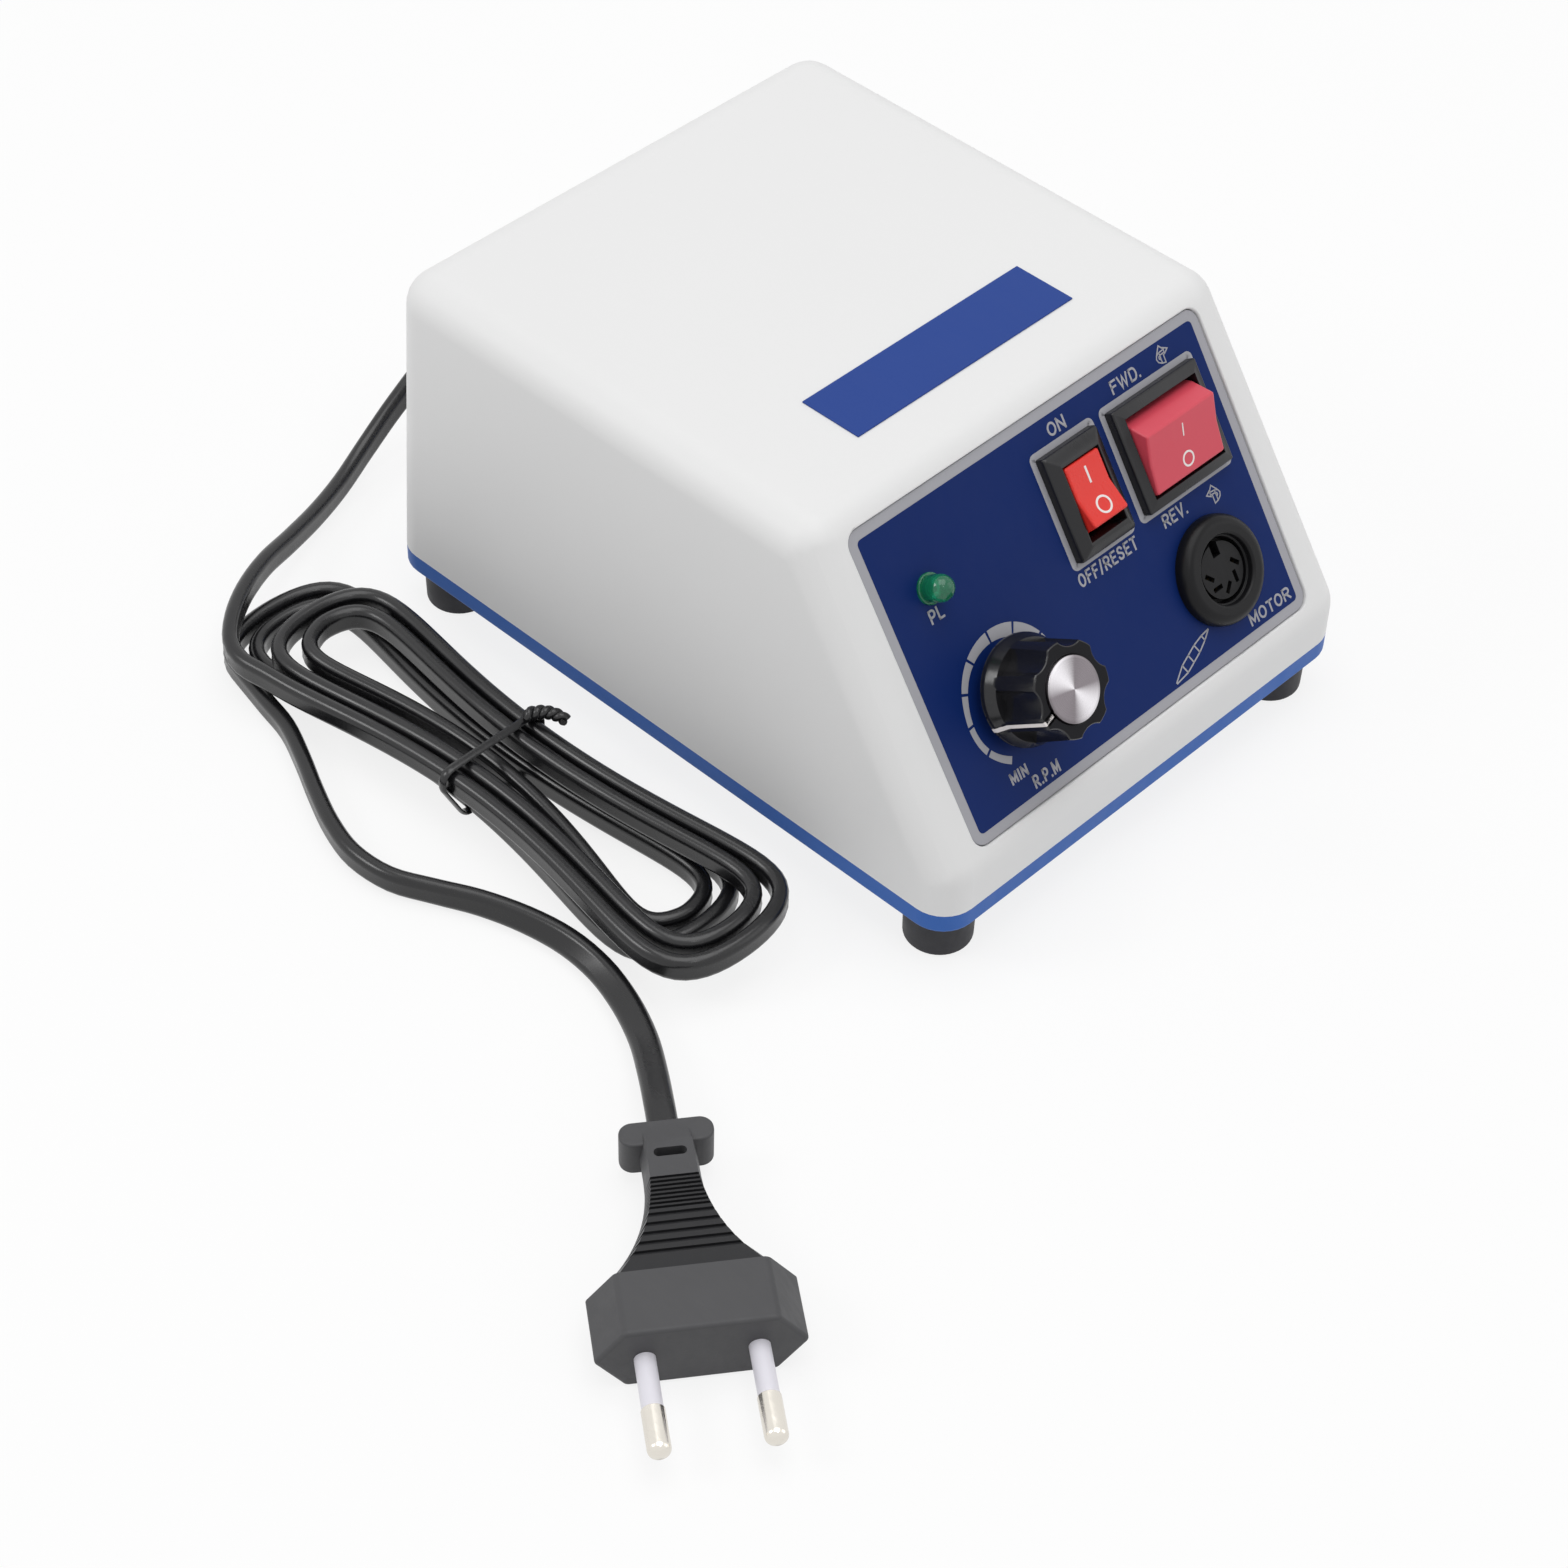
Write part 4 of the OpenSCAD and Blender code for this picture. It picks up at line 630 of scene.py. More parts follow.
def add_camera():
    """Camera at the photograph's viewing angle."""
    data = bpy.data.cameras.new("view")
    data.sensor_width = SENSOR
    data.lens = FOCAL_PIXELS / FRAME_PIXELS * SENSOR
    data.clip_start = 0.01
    camera = linked("view", data)
    turn = Matrix((CAMERA_RIGHT, CAMERA_UP, -CAMERA_AHEAD)).transposed()
    camera.matrix_world = Matrix.Translation(CAMERA_PLACE) @ turn.to_4x4()
    bpy.context.scene.camera = camera


def white_rays(tree):
    """1 for camera, glossy and transmission rays, which see a white background."""
    rays = tree.nodes.new("ShaderNodeLightPath").outputs
    seen = maths(tree, "MAXIMUM", rays["Is Camera Ray"], rays["Is Transmission Ray"])
    return maths(tree, "MAXIMUM", seen, rays["Is Glossy Ray"])


def mix(tree, share, first, second, end):
    """Sends a mix of two shaders to an end of the tree."""
    inputs = {0: share, 1: first.outputs[0], 2: second.outputs[0]}
    mixed = node(tree, "ShaderNodeMixShader", inputs)
    tree.links.new(mixed.outputs[0], tree.nodes.new(end).inputs["Surface"])


def add_world():
    """Even pale light from all round, and white where the camera looks past the floor."""
    world = bpy.data.worlds.new("studio")
    tree = cleared(world)
    soft = node(tree, "ShaderNodeBackground", {"Color": (1, 1, 1, 1), "Strength": SOFT_LIGHT})
    white = node(tree, "ShaderNodeBackground", {"Color": (1, 1, 1, 1), "Strength": 1.0})
    mix(tree, white_rays(tree), soft, white, "ShaderNodeOutputWorld")
    bpy.context.scene.world = world


def add_softbox(name, place, target, size, energy):
    """A square area lamp that faces a target."""
    data = bpy.data.lights.new(name, "AREA")
    data.size = size
    data.energy = energy
    lamp = linked(name, data)
    lamp.location = place
    lamp.rotation_euler = (Vector(target) - Vector(place)).to_track_quat("-Z", "Y").to_euler()


def add_floor():
    """Pale floor, which keeps the object's shadow."""
    bpy.ops.object.select_all(action="DESELECT")
    bpy.ops.mesh.primitive_plane_add(size=2 * FLOOR_HALF, location=(0, 0, -FLOOR_DROP))
    floor = bpy.context.view_layer.objects.active
    floor.name = "floor"
    made = bpy.data.materials.new("Floor white")
    tree = cleared(made)
    matt = node(tree, "ShaderNodeBsdfDiffuse", {"Color": (0.9, 0.9, 0.9, 1)})
    glow = node(tree, "ShaderNodeEmission", {"Color": (1, 1, 1, 1), "Strength": 1.0})
    share = maths(tree, "MULTIPLY", white_rays(tree), FLOOR_GLOW)
    mix(tree, share, matt, glow, "ShaderNodeOutputMaterial")
    floor.data.materials.append(made)


class UNIT_OT_stage(bpy.types.Operator):
    """Adds the camera, the light and the floor"""

    bl_idname = "unit.stage"
    bl_label = "Stage"

    def execute(self, context):
        context.scene.view_settings.view_transform = "Standard"
        add_camera()
        add_world()
        for softbox in SOFTBOXES:
            add_softbox(*softbox)
        add_floor()
        return {"FINISHED"}


# Mains cord: points of its lead and tail in millimetres, and the hank's form

LEAD_POINTS = [
    (3, 95, 26), (-0.6, 99.8, 26), (-7, 105, 23.5), (-16, 108.5, 18), (-26, 109, 11.5),
    (-36, 107.5, 6.5), (-46, 104, 4.5), (-56, 100, 4.9), (-66, 96, 6.6), (-75.5, 92.2, 8.6),
    (-84, 87.8, 9.6), (-91, 82.8, 9.9), (-95.8, 77.6, 9.7),
]
TAIL_POINTS = [
    (-99, 58, 3), (-102.5, 49.5, 3), (-106.5, 41, 3), (-110, 32.5, 3), (-112, 24, 3),
    (-111.2, 15, 3), (-107.5, 7, 3), (-103.5, -1, 3), (-100.5, -10, 3), (-99, -19, 3),
    (-99.5, -28, 3), (-102, -37, 3.2), (-106, -45.5, 4), (-111.2, -53.2, 5.6),
    (-116.4, -60.2, 6.85), (-120, -65, 6.85),
]
HANK_MID = (-80, 20)
HANK_HALF = 62
HANK_END_W = 17.5
HANK_WAIST_W = 11
HANK_STEP = 4
HANK_WAIST_STEP = 3.7
HANK_ROUND = 0.25
HANK_STAGGER = 5
HANK_LOW = 3
HANK_LAYER = 6.3
HANK_LIFT = 1
HANK_FROM = 50
HANK_TO = 1478
CLIMB_FROM = 720
CLIMB_TO = 900
CLIMB_DODGE = 0.7
HANK_TURN_STEP = 4
STRAIGHT = 1.2
ROLL_FROM = 7
ROLL_SPARE = 9
CORE_STEPS = 8


def ease(t):
    t = min(1.0, max(0.0, t))
    return t * t * (3 - 2 * t)


def hank_point(degrees):
    """A point on the hank's centre line, in millimetres."""
    t = min(1.0, max(0.0, (degrees - CLIMB_FROM) / (CLIMB_TO - CLIMB_FROM)))
    turns_in = min(degrees - HANK_FROM, CLIMB_FROM + CLIMB_TO - HANK_FROM - degrees) / 360
    turns_in += 4 * CLIMB_DODGE * t * (1 - t)
    end_w = HANK_END_W - HANK_STEP * turns_in
    waist_w = HANK_WAIST_W - HANK_WAIST_STEP * turns_in
    half = HANK_HALF - HANK_STEP * turns_in
    down = ease(t)
    s = math.sin(math.radians(degrees))
    c = math.cos(math.radians(degrees))
    return Vector((
        HANK_MID[0] - s * (end_w * (1 + c * c) - (end_w - waist_w) * s * s),
        HANK_MID[1] - HANK_STAGGER + 2 * HANK_STAGGER * down + half * c * (1 + HANK_ROUND * s * s),
        HANK_LOW + HANK_LAYER * (1 - down) + HANK_LIFT * s ** 6,
    ))


def hank_heading(degrees):
    step = hank_point(degrees + 1) - hank_point(degrees - 1)
    step.z = 0
    return step.normalized()


def curve_through(points, step):
    """Points at an even step on a smooth curve through given points of any dimension."""
    line = []
    for i in range(len(points) - 1):
        a, b = points[max(i - 1, 0)], points[i]
        c, d = points[i + 1], points[min(i + 2, len(points) - 1)]
        parts = max(1, round((Vector(c[:3]) - Vector(b[:3])).length / step))
        for j in range(parts):
            t = j / parts
            line.append([
                0.5 * (2 * q + (r - p) * t + (2 * p - 5 * q + 4 * r - s) * t ** 2
                       + (3 * q - p - 3 * r + s) * t ** 3)
                for p, q, r, s in zip(a, b, c, d)
            ])
    line.append(list(points[-1]))
    return line


def cord_line(step):
    """The whole cord's centre line in millimetres, with its roll in degrees as a fourth value."""
    turns = [hank_point(a) for a in range(HANK_FROM, HANK_TO + 1, HANK_TURN_STEP)]
    into = sizes().cord_width / MM * hank_heading(HANK_FROM)
    out = sizes().cord_width / MM * hank_heading(HANK_TO)
    start = turns[0] - into
    stop = turns[-1] + out
    before = start - STRAIGHT * into
    after = stop + STRAIGHT * out
    lead = [(*p, 0.0) for p in LEAD_POINTS] + [(*before, 0.0), (*start, 0.0)]
    tail = [Vector(stop), Vector(after)] + [Vector(p) for p in TAIL_POINTS]
    count = len(tail)
    tail = [(*p, 90 * ease((i - ROLL_FROM) / (count - ROLL_SPARE))) for i, p in enumerate(tail)]
    middle = [(*p, 0.0) for p in turns]
    return curve_through(lead + middle + tail, step)


def skin(name, rings, closed=False):
    """A piece from rings of points in millimetres, each joined to the next, capped if it's open."""
    count = len(rings)
    sides = len(rings[0])
    faces = []
    for i in range(count if closed else count - 1):
        here = i * sides
        after = (i + 1) % count * sides
        for j in range(sides):
            turn = (j + 1) % sides
            faces.append((here + j, here + turn, after + turn, after + j))
    if not closed:
        faces.append(tuple(reversed(range(sides))))
        faces.append(tuple(range((count - 1) * sides, count * sides)))
    piece = mesh_piece(name, [point * MM for ring in rings for point in ring], faces)
    with editing(piece):
        bpy.ops.mesh.normals_make_consistent(inside=False)
    return piece


def sweep(name, line, profile):
    """Sweeps a profile, upright and then rolled, along points with a roll each."""
    points = [Vector(p[:3]) for p in line]
    last = len(points) - 1
    rings = []
    for i, point in enumerate(points):
        heading = (points[min(i + 1, last)] - points[max(i - 1, 0)]).normalized()
        side = heading.cross(Vector((0, 0, 1))).normalized()
        up = side.cross(heading)
        roll = math.radians(line[i][3])
        c, s = math.cos(roll), math.sin(roll)
        rings.append([
            point + side * (across * c - along * s) + up * (across * s + along * c)
            for across, along in profile
        ])
    return skin(name, rings)


def twin_profile():
    """Section of a flat twin cord: two round cores in one jacket, with a shallow groove between."""
    across = sizes().cord_thickness / 2 / MM
    centre = sizes().cord_width / 2 / MM - across
    waist = across - sizes().cord_groove / MM
    upper = arc((0, centre), across, 0, 180, CORE_STEPS)
    lower = arc((0, -centre), across, 180, 360, CORE_STEPS)
    return upper + [(-waist, 0)] + lower + [(waist, 0)]


def make_cord():
    """The mains cord, from the gland through the hank to the plug."""
    line = cord_line(sizes().cord_step / MM)
    piece = sweep("mains_cord", line, twin_profile())
    smooth(piece, angle=50)
    settle(piece, "case", "cord_black", "Cord jacket", "cord_lead", "cord_hank", "cord_tail")
    path = [Vector(p[:3]) * MM for p in line]
    run = sum((b - a).length for a, b in zip(path, path[1:]))
    return piece, path, run


# The tie's corners across and up, in millimetres, and the twist of its two ends
TIE_Y = 20
TIE_CORNERS = [(-71.1, 11.5), (-91.1, 11.5), (-91.1, 10.3), (-87.4, 2.8), (-71.1, 2.8)]
TIE_CORNER = 2.35
TIE_STEPS = 6
TIE_SIDES = 12
KNOT_START = (-72.8, 19.6, 15.2)
KNOT_AIM = (0.886, -0.413, 0.208)
KNOT_TURNED = (0.1, -0.98, -0.17)
KNOT_LENGTH = 8.8
KNOT_TURNS = 2.5
KNOT_RADIUS = 0.75
KNOT_TAPER = 0.35
KNOT_STEPS = 40
STRAND_SIDES = 10


def round_the_corners(corners, radius, steps):
    """A closed line drawn tight round equal circles at the corners."""
    line = []
    for i, corner in enumerate(corners):
        before = Vector(corner) - Vector(corners[i - 1])
        after = Vector(corners[(i + 1) % len(corners)]) - Vector(corner)
        first = math.degrees(math.atan2(-before.x, before.y))
        last = math.degrees(math.atan2(-after.x, after.y))
        line += arc(corner, radius, first, last + (360 if last < first else 0), steps)
    return line


def make_tie():
    """A wire tie: a rounded band drawn tight round the hank, with its two ends twisted together."""
    corners = round_the_corners(TIE_CORNERS, TIE_CORNER, TIE_STEPS)
    line = [Vector((x, TIE_Y, z)) for x, z in corners]
    across = Vector((0, 1, 0))
    wide = sizes().tie_width / 2 / MM
    thick = sizes().tie_thickness / 2 / MM
    angles = [TURN * j / TIE_SIDES for j in range(TIE_SIDES)]
    rings = []
    for i, point in enumerate(line):
        out = (line[(i + 1) % len(line)] - line[i - 1]).normalized().cross(across)
        rings.append([point + out * thick * math.cos(a) + across * wide * math.sin(a) for a in angles])
    band = skin("tie_band", rings, closed=True)
    tie = join("wire_tie", [band, twist_strand(0), twist_strand(1)])
    smooth(tie, angle=60)
    return settle(tie, "case", "cord_black", "Cord jacket", "cord_tie")


def twist_strand(which):
    """One of the two twisted ends of the tie, which bend over to lie along the cord."""
    aim = Vector(KNOT_AIM).normalized()
    swerve = Vector(KNOT_TURNED).normalized() - aim
    line = []
    for i in range(KNOT_STEPS + 1):
        t = i / KNOT_STEPS
        heading = (aim + swerve * t).normalized()
        side = heading.cross(Vector((0, 0, 1))).normalized()
        up = side.cross(heading)
        a = TURN * (KNOT_TURNS * t + which / 2)
        reach = KNOT_RADIUS * (1 - KNOT_TAPER * t)
        centre = Vector(KNOT_START) + (aim * t + swerve * t * t / 2) * KNOT_LENGTH
        line.append((*(centre + side * reach * math.cos(a) + up * reach * math.sin(a)), 0.0))
    thick = sizes().tie_thickness / MM
    profile = arc((0, 0), thick, 0, 360 - 360 / STRAND_SIDES, STRAND_SIDES - 1)
    return sweep(f"tie_end_{which}", line, profile)


# Plug, in millimetres from its collar, and its pins, in millimetres from its face
COLLAR_TO = 6
RIBS_FROM = 12.4
RIBS_TO = 33.4
RIB_LEAN = 0.35
BLOCK_FROM = 34.5
HOLE_CLEAR = 2.4
PIN_ROOT = -8
PIN_OUT = 10
PIN_END = 17.4
PIN_RADIUS = 2
PIN_NECK = 1.4
PIN_EDGE = 0.15
PIN_NOSE = 1.4
PIN_NOSE_ARC = 80
PIN_TIP = [(0.75, 1.45), (0, 1.5)]
SLEEVE_RADIUS = 1.8
SLEEVE_BORE = 1.42
SLEEVE_LIP = [(0, 0.6), (0.08, 0.1)]


def pin_frames():
    """Frames of the plug's two pins, with z out of its face."""
    out = Matrix.Rotation(math.pi / 2, 4, "Y")
    return [PLUG @ Matrix.Translation((PLUG_LENGTH, side * PIN_PITCH / 2, 0)) @ out for side in (-1, 1)]


def make_plug_shell():
    """The plug's body, with soft edges on its block and collar and a darker ribbed neck."""
    body = copy_of("plug_body", "plug_shell")
    to_plug = PLUG.inverted()

    def on_block(point):
        return point.x > BLOCK_FROM * MM and abs(abs(point.y) - PIN_PITCH / 2) > HOLE_CLEAR * MM

    def ribbed(face):
        on_neck = RIBS_FROM < (to_plug @ face.center).x / MM < RIBS_TO
        return on_neck and abs((to_plug.to_3x3() @ face.normal).y) < RIB_LEAN

    round_where(body, PLUG, on_block, sizes().block_round)
    round_where(body, PLUG, lambda point: point.x < COLLAR_TO * MM, sizes().collar_round)
    smooth(body)
    settle(body, "case", "plug_black", "Moulded plug", "plug_body")
    paint(body, "Plug ribs", ribbed)
    return body


def make_sleeves():
    """The white sleeves round the roots of the pins."""
    outline = [(SLEEVE_BORE, PIN_ROOT), (SLEEVE_RADIUS, PIN_ROOT)]
    outline += [(SLEEVE_RADIUS - inward, PIN_OUT - back) for inward, back in SLEEVE_LIP]
    outline += [(SLEEVE_BORE, PIN_OUT)]
    sleeves = join("pin_sleeves", [lathe("sleeve", outline, at) for at in pin_frames()])
    smooth(sleeves, angle=40)
    return settle(sleeves, "case", "sleeve_white", "Sleeve white", "plug_pin_sleeves")


def make_pins():
    """The pins, with rounded ends."""
    outline = [
        (0, PIN_ROOT), (PIN_NECK, PIN_ROOT), (PIN_NECK, PIN_OUT), (PIN_RADIUS - PIN_EDGE, PIN_OUT),
        (PIN_RADIUS, PIN_OUT + PIN_EDGE), (PIN_RADIUS, PIN_END),
    ]
    outline += arc((PIN_RADIUS - PIN_NOSE, PIN_END), PIN_NOSE, 0, PIN_NOSE_ARC, 7)[1:]
    outline += [(radius, PIN_END + ahead) for radius, ahead in PIN_TIP]
    pins = join("contact_pins", [lathe("pin", outline, at, closed=False) for at in pin_frames()])
    smooth(pins, angle=40)
    return settle(pins, "case", "nickel", "Nickel", "plug_pins")


def make_plug():
    return [make_plug_shell(), make_sleeves(), make_pins()]


class UNIT_OT_mains_cord(bpy.types.Operator):
    """Adds the flat mains cord with its gland, its wire tie and its plug"""

    bl_idname = "unit.mains_cord"
    bl_label = "Mains cord"

    def execute(self, context):
        cord, path, run = make_cord()
        tie = make_tie()
        gland = dressed("cord_gland", "cord_boot", "case", "black_plastic", "Rubber")
        plug = make_plug()
        return {"FINISHED"}


# Case

RECESS_RIM = 0.5 * MM
RECESS_REACH = 3 * MM
FLUSH = 0.06 * MM


def make_cover():
    """The cover, with a soft edge round the panel's recess."""
    cover = copy_of("upper_housing", "cover_shell")
    low, high = panel_box("front_panel")

    def on_recess(point):
        beside = max(low.x - point.x, point.x - high.x, low.y - point.y, point.y - high.y)
        return abs(point.z - RECESS_RIM) < FLUSH and beside < RECESS_REACH

    round_where(cover, PANEL, on_recess, sizes().case_round)
    smooth(cover)
    return settle(cover, "case", "housing_white", "Moulded white", "upper_housing")


class UNIT_OT_case(bpy.types.Operator):
    """Adds the cover, the base, the feet and the strip on the top face"""

    bl_idname = "unit.case"
    bl_label = "Case"

    def execute(self, context):
        make_cover()
        size = sizes()
        dressed("base_tray", "base_shell", "case", "base_blue", "Moulded blue", size.case_round)
        dressed(
            "rubber_feet", "foot_set", "case", "foot_rubber", "Rubber", size.foot_round, segments=4
        )
        dressed("top_label", "top_strip", "case", "label_blue", "Strip film", size.strip_round)
        return {"FINISHED"}


# Panel: each legend with its centre and size, in millimetres on the panel

LEGENDS = [
    ("ON", 5.8, 55.1, 4.6, 2.6), ("OFF/RESET", 5.2, 28.1, 16.0, 2.6),
    ("FWD.", 24.8, 55.1, 7.9, 2.6), ("REV.", 24.0, 28.1, 6.6, 2.6),
    ("PL", -34.9, 38.7, 3.4, 2.6), ("MIN", -31.8, 4.95, 4.4, 2.2),
    ("R.P.M", -26.1, 1.9, 6.8, 2.5), ("MOTOR", 37.5, 2.0, 11.8, 2.5),
]
LEGEND_STROKE = 0.42
LEGEND_GAP = 0.34
BOWL_FLAT = 0.55
BOWL_STEPS = 10


def bowl(low, high, reach=1.0):
    """The round side of a D, P or R, between two heights."""
    half = (high - low) / 2
    flat = BOWL_FLAT * reach
    return [(0, high)] + [
        (flat + (reach - flat) * math.sin(a), low + half + half * math.cos(a))
        for a in (math.pi * i / BOWL_STEPS for i in range(BOWL_STEPS + 1))
    ] + [(0, low)]


def oval(first, last, steps):
    """Part of a letter's oval, between two angles in degrees."""
    return [(0.5 + 0.5 * x, 0.5 + 0.5 * y) for x, y in arc((0, 0), 1, first, last, steps)]


STEM = [(0, 0), (0, 1)]
FOOT_BAR = [(0, 0), (1, 0)]
HEAD_BAR = [(0, 1), (1, 1)]
MID_BAR = [(0, 0.52), (0.85, 0.52)]
LETTERS = {
    "D": (1, [STEM, bowl(0, 1)]),
    "E": (0.85, [STEM, HEAD_BAR, MID_BAR, FOOT_BAR]),
    "F": (0.8, [STEM, HEAD_BAR, MID_BAR]),
    "I": (0, [STEM]),
    "L": (0.8, [STEM, FOOT_BAR]),
    "M": (1.25, [STEM, [(0, 1), (0.5, 0.2), (1, 1)], [(1, 0), (1, 1)]]),
    "N": (1, [STEM, [(0, 1), (1, 0)], [(1, 0), (1, 1)]]),
    "O": (1.1, [oval(0, 360, 28)]),
    "P": (0.95, [STEM, bowl(0.44, 1)]),
    "R": (1, [STEM, bowl(0.46, 1), [(0.45, 0.46), (1, 0)]]),
    "S": (0.95, [[(0.95, 0.82), (0.8, 0.96), (0.5, 1), (0.2, 0.96), (0.04, 0.8), (0.1, 0.62), (0.5, 0.52),
                  (0.9, 0.4), (0.98, 0.2), (0.8, 0.04), (0.5, 0), (0.2, 0.04), (0.03, 0.2)]]),
    "T": (0.95, [HEAD_BAR, [(0.5, 0), (0.5, 1)]]),
    "V": (1.05, [[(0, 1), (0.5, 0), (1, 1)]]),
    "W": (1.5, [[(0, 1), (0.26, 0), (0.5, 0.9), (0.74, 0), (1, 1)]]),
    "/": (0.45, [[(0, -0.06), (1, 1.06)]]),
    ".": (0, [[(0, 0), (0, 0.02)]]),
}
# The dial's marks and the gap between them in degrees, and where its band narrows and flares
DIAL_GAPS = [239, 213.5, 185, 156, 126, 94, 63, 30, -1, -32, -59]
DIAL_GAP = 2.6
DIAL_STEPS = 8
DIAL_NARROW_AT = 195
FLARE_FROM = 160
FLARE_TO = 218
# Signs of the turning way and of the handpiece
TURN_SIGNS = [((35.1, 55.1), 1), ((34.7, 26.9), -1)]
SIGN_LINE = 0.24
SIGN_LINES = [
    ([(-0.45, -1.25), (-0.45, 0.6), (-1.0, 0.6), (0, 1.8), (0.95, 0.7)], False),
    ([(0.45, 0.1), (0.45, -1.65), (-0.5, -1.45), (-1.3, -0.95), (-1.55, -0.3), (-1.25, 0.3), (-0.5, 0.62),
      (0.85, 0.72)], False),
    ([(-0.45, -0.75), (-0.85, -0.45), (-0.8, -0.1), (-0.45, 0.08), (0.85, 0.2)], False),
    ([(0.85, 1.05), (1.85, 0.5), (0.85, -0.1)], True),
]
HANDPIECE_LINE = 0.3
HANDPIECE_TIP = (21.3, 5.7)
HANDPIECE_END = (9.7, 0.7)
HANDPIECE_STATIONS = [(0, 0.05), (0.16, 0.62), (0.36, 0.98), (0.55, 0.98), (0.74, 0.98), (1, 0.12)]
MITRE_MOST = 2.5
MITRE_LEAST = 0.2
FACE_UP = 0.99
TRIM_NEAR = 0.01 * MM


def flat_piece(name, points, faces):
    """A thin printed piece from flat points in millimetres on the panel."""
    return mesh_piece(name, [(p[0] * MM, p[1] * MM, 0) for p in points], faces)


def ribbon(points, width, closed=False):
    """Points and faces of a line of even width, mitred at its corners."""
    count = len(points)
    line = [Vector(p) for p in points]
    edges = []
    for i in range(count):
        after = line[(i + 1) % count] if closed else line[min(i + 1, count - 1)]
        before = line[i - 1] if closed else line[max(i - 1, 0)]
        into = line[i] - before
        out = after - line[i]
        first = (into if into.length else out).normalized()
        second = out.normalized() if out.length else first
        bisector = (first + second).normalized()
        normal = Vector((-bisector.y, bisector.x))
        stretch = min(MITRE_MOST, 1 / max(MITRE_LEAST, bisector.dot(first)))
        edges.append((line[i] + normal * width / 2 * stretch, line[i] - normal * width / 2 * stretch))
    flat = [tuple(p) for pair in edges for p in pair]
    last = count if closed else count - 1
    faces = [(2 * i, 2 * i + 1, 2 * ((i + 1) % count) + 1, 2 * ((i + 1) % count)) for i in range(last)]
    return flat, faces


def thicken(piece, rise):
    """Turns flat faces towards the viewer and makes them a thin solid."""
    with editing(piece):
        bpy.ops.mesh.normals_make_consistent(inside=False)
    if piece.data.polygons[0].normal.z < 0:
        piece.data.flip_normals()
    apply_modifier(piece, "SOLIDIFY", thickness=rise, offset=1.0)


def make_legend(text, u, v, width, height):
    """One word of narrow upright letters, fitted to its printed width and height."""
    widths = [LETTERS[letter][0] for letter in text]
    spare = width - LEGEND_STROKE - (len(text) - 1) * (LEGEND_STROKE + LEGEND_GAP)
    unit = spare / sum(widths)
    tall = height - LEGEND_STROKE
    pieces = []
    across = u - width / 2 + LEGEND_STROKE / 2
    for letter, wide in zip(text, widths):
        for stroke in LETTERS[letter][1]:
            points = [(across + x * wide * unit, v - tall / 2 + y * tall) for x, y in stroke]
            closed = stroke[0] == stroke[-1] or letter == "O"
            pieces.append(make_stroke(points[:-1] if closed else points, LEGEND_STROKE, closed))
        across += wide * unit + LEGEND_STROKE + LEGEND_GAP
    return pieces


def make_stroke(points, width, closed=False):
    """A thin printed line of even width through points on the panel, square at its ends."""
    if not closed:
        first = Vector(points[0]) - Vector(points[1])
        last = Vector(points[-1]) - Vector(points[-2])
        start = Vector(points[0]) + first.normalized() * width / 2
        stop = Vector(points[-1]) + last.normalized() * width / 2
        points = [start, *points[1:-1], stop]
    flat, faces = ribbon(points, width, closed)
    piece = flat_piece("printed_line", flat, faces)
    thicken(piece, sizes().print_rise)
    return piece


def make_turn_sign(centre, way):
    """An outlined arrow with a loop about its shaft, which says which way the motor turns."""
    return [
        make_stroke([(centre[0] + way * u, centre[1] + v) for u, v in points], SIGN_LINE, closed)
        for points, closed in SIGN_LINES
    ]


def make_handpiece_sign():
    """Outline of a slim handpiece, with lines across it."""
    tip = Vector(HANDPIECE_TIP)
    axis = Vector(HANDPIECE_END) - tip
    side = Vector((-axis.y, axis.x)).normalized()
    left = [tip + axis * t + side * half for t, half in HANDPIECE_STATIONS]
    right = [tip + axis * t - side * half for t, half in HANDPIECE_STATIONS]
    across = [make_stroke([left[i], right[i]], HANDPIECE_LINE) for i in range(1, len(left) - 1)]
    return [make_stroke(left + right[::-1], HANDPIECE_LINE, True)] + across


def make_dial():
    """The dial's band, which widens from its low end, with a gap between marks."""
    pieces = []
    first, last = DIAL_GAPS[0], DIAL_GAPS[-1]
    outer = sizes().dial_outer / MM
    place = panel_place("speed_knob") / MM
    for start, stop in zip(DIAL_GAPS, DIAL_GAPS[1:]):
        start -= DIAL_GAP / 2 if start != first else 0
        stop += DIAL_GAP / 2 if stop != last else 0
        flat = []
        for i in range(DIAL_STEPS + 1):
            a = start + (stop - start) * i / DIAL_STEPS
            share = 0.5 - 0.5 * math.cos(math.radians(min(180, abs(DIAL_NARROW_AT - a))))
            width = (sizes().dial_narrow + (sizes().dial_wide - sizes().dial_narrow) * share) / MM
            reach = outer + sizes().dial_flare / MM * ease((a - FLARE_FROM) / (FLARE_TO - FLARE_FROM))
            heading = Vector((math.cos(math.radians(a)), math.sin(math.radians(a))))
            flat += [place.xy + heading * reach, place.xy + heading * (reach - width)]
        faces = [(2 * i, 2 * i + 1, 2 * i + 3, 2 * i + 2) for i in range(DIAL_STEPS)]
        piece = flat_piece("dial_mark", flat, faces)
        thicken(piece, sizes().print_rise)
        pieces.append(piece)
    return join("dial_band", pieces)


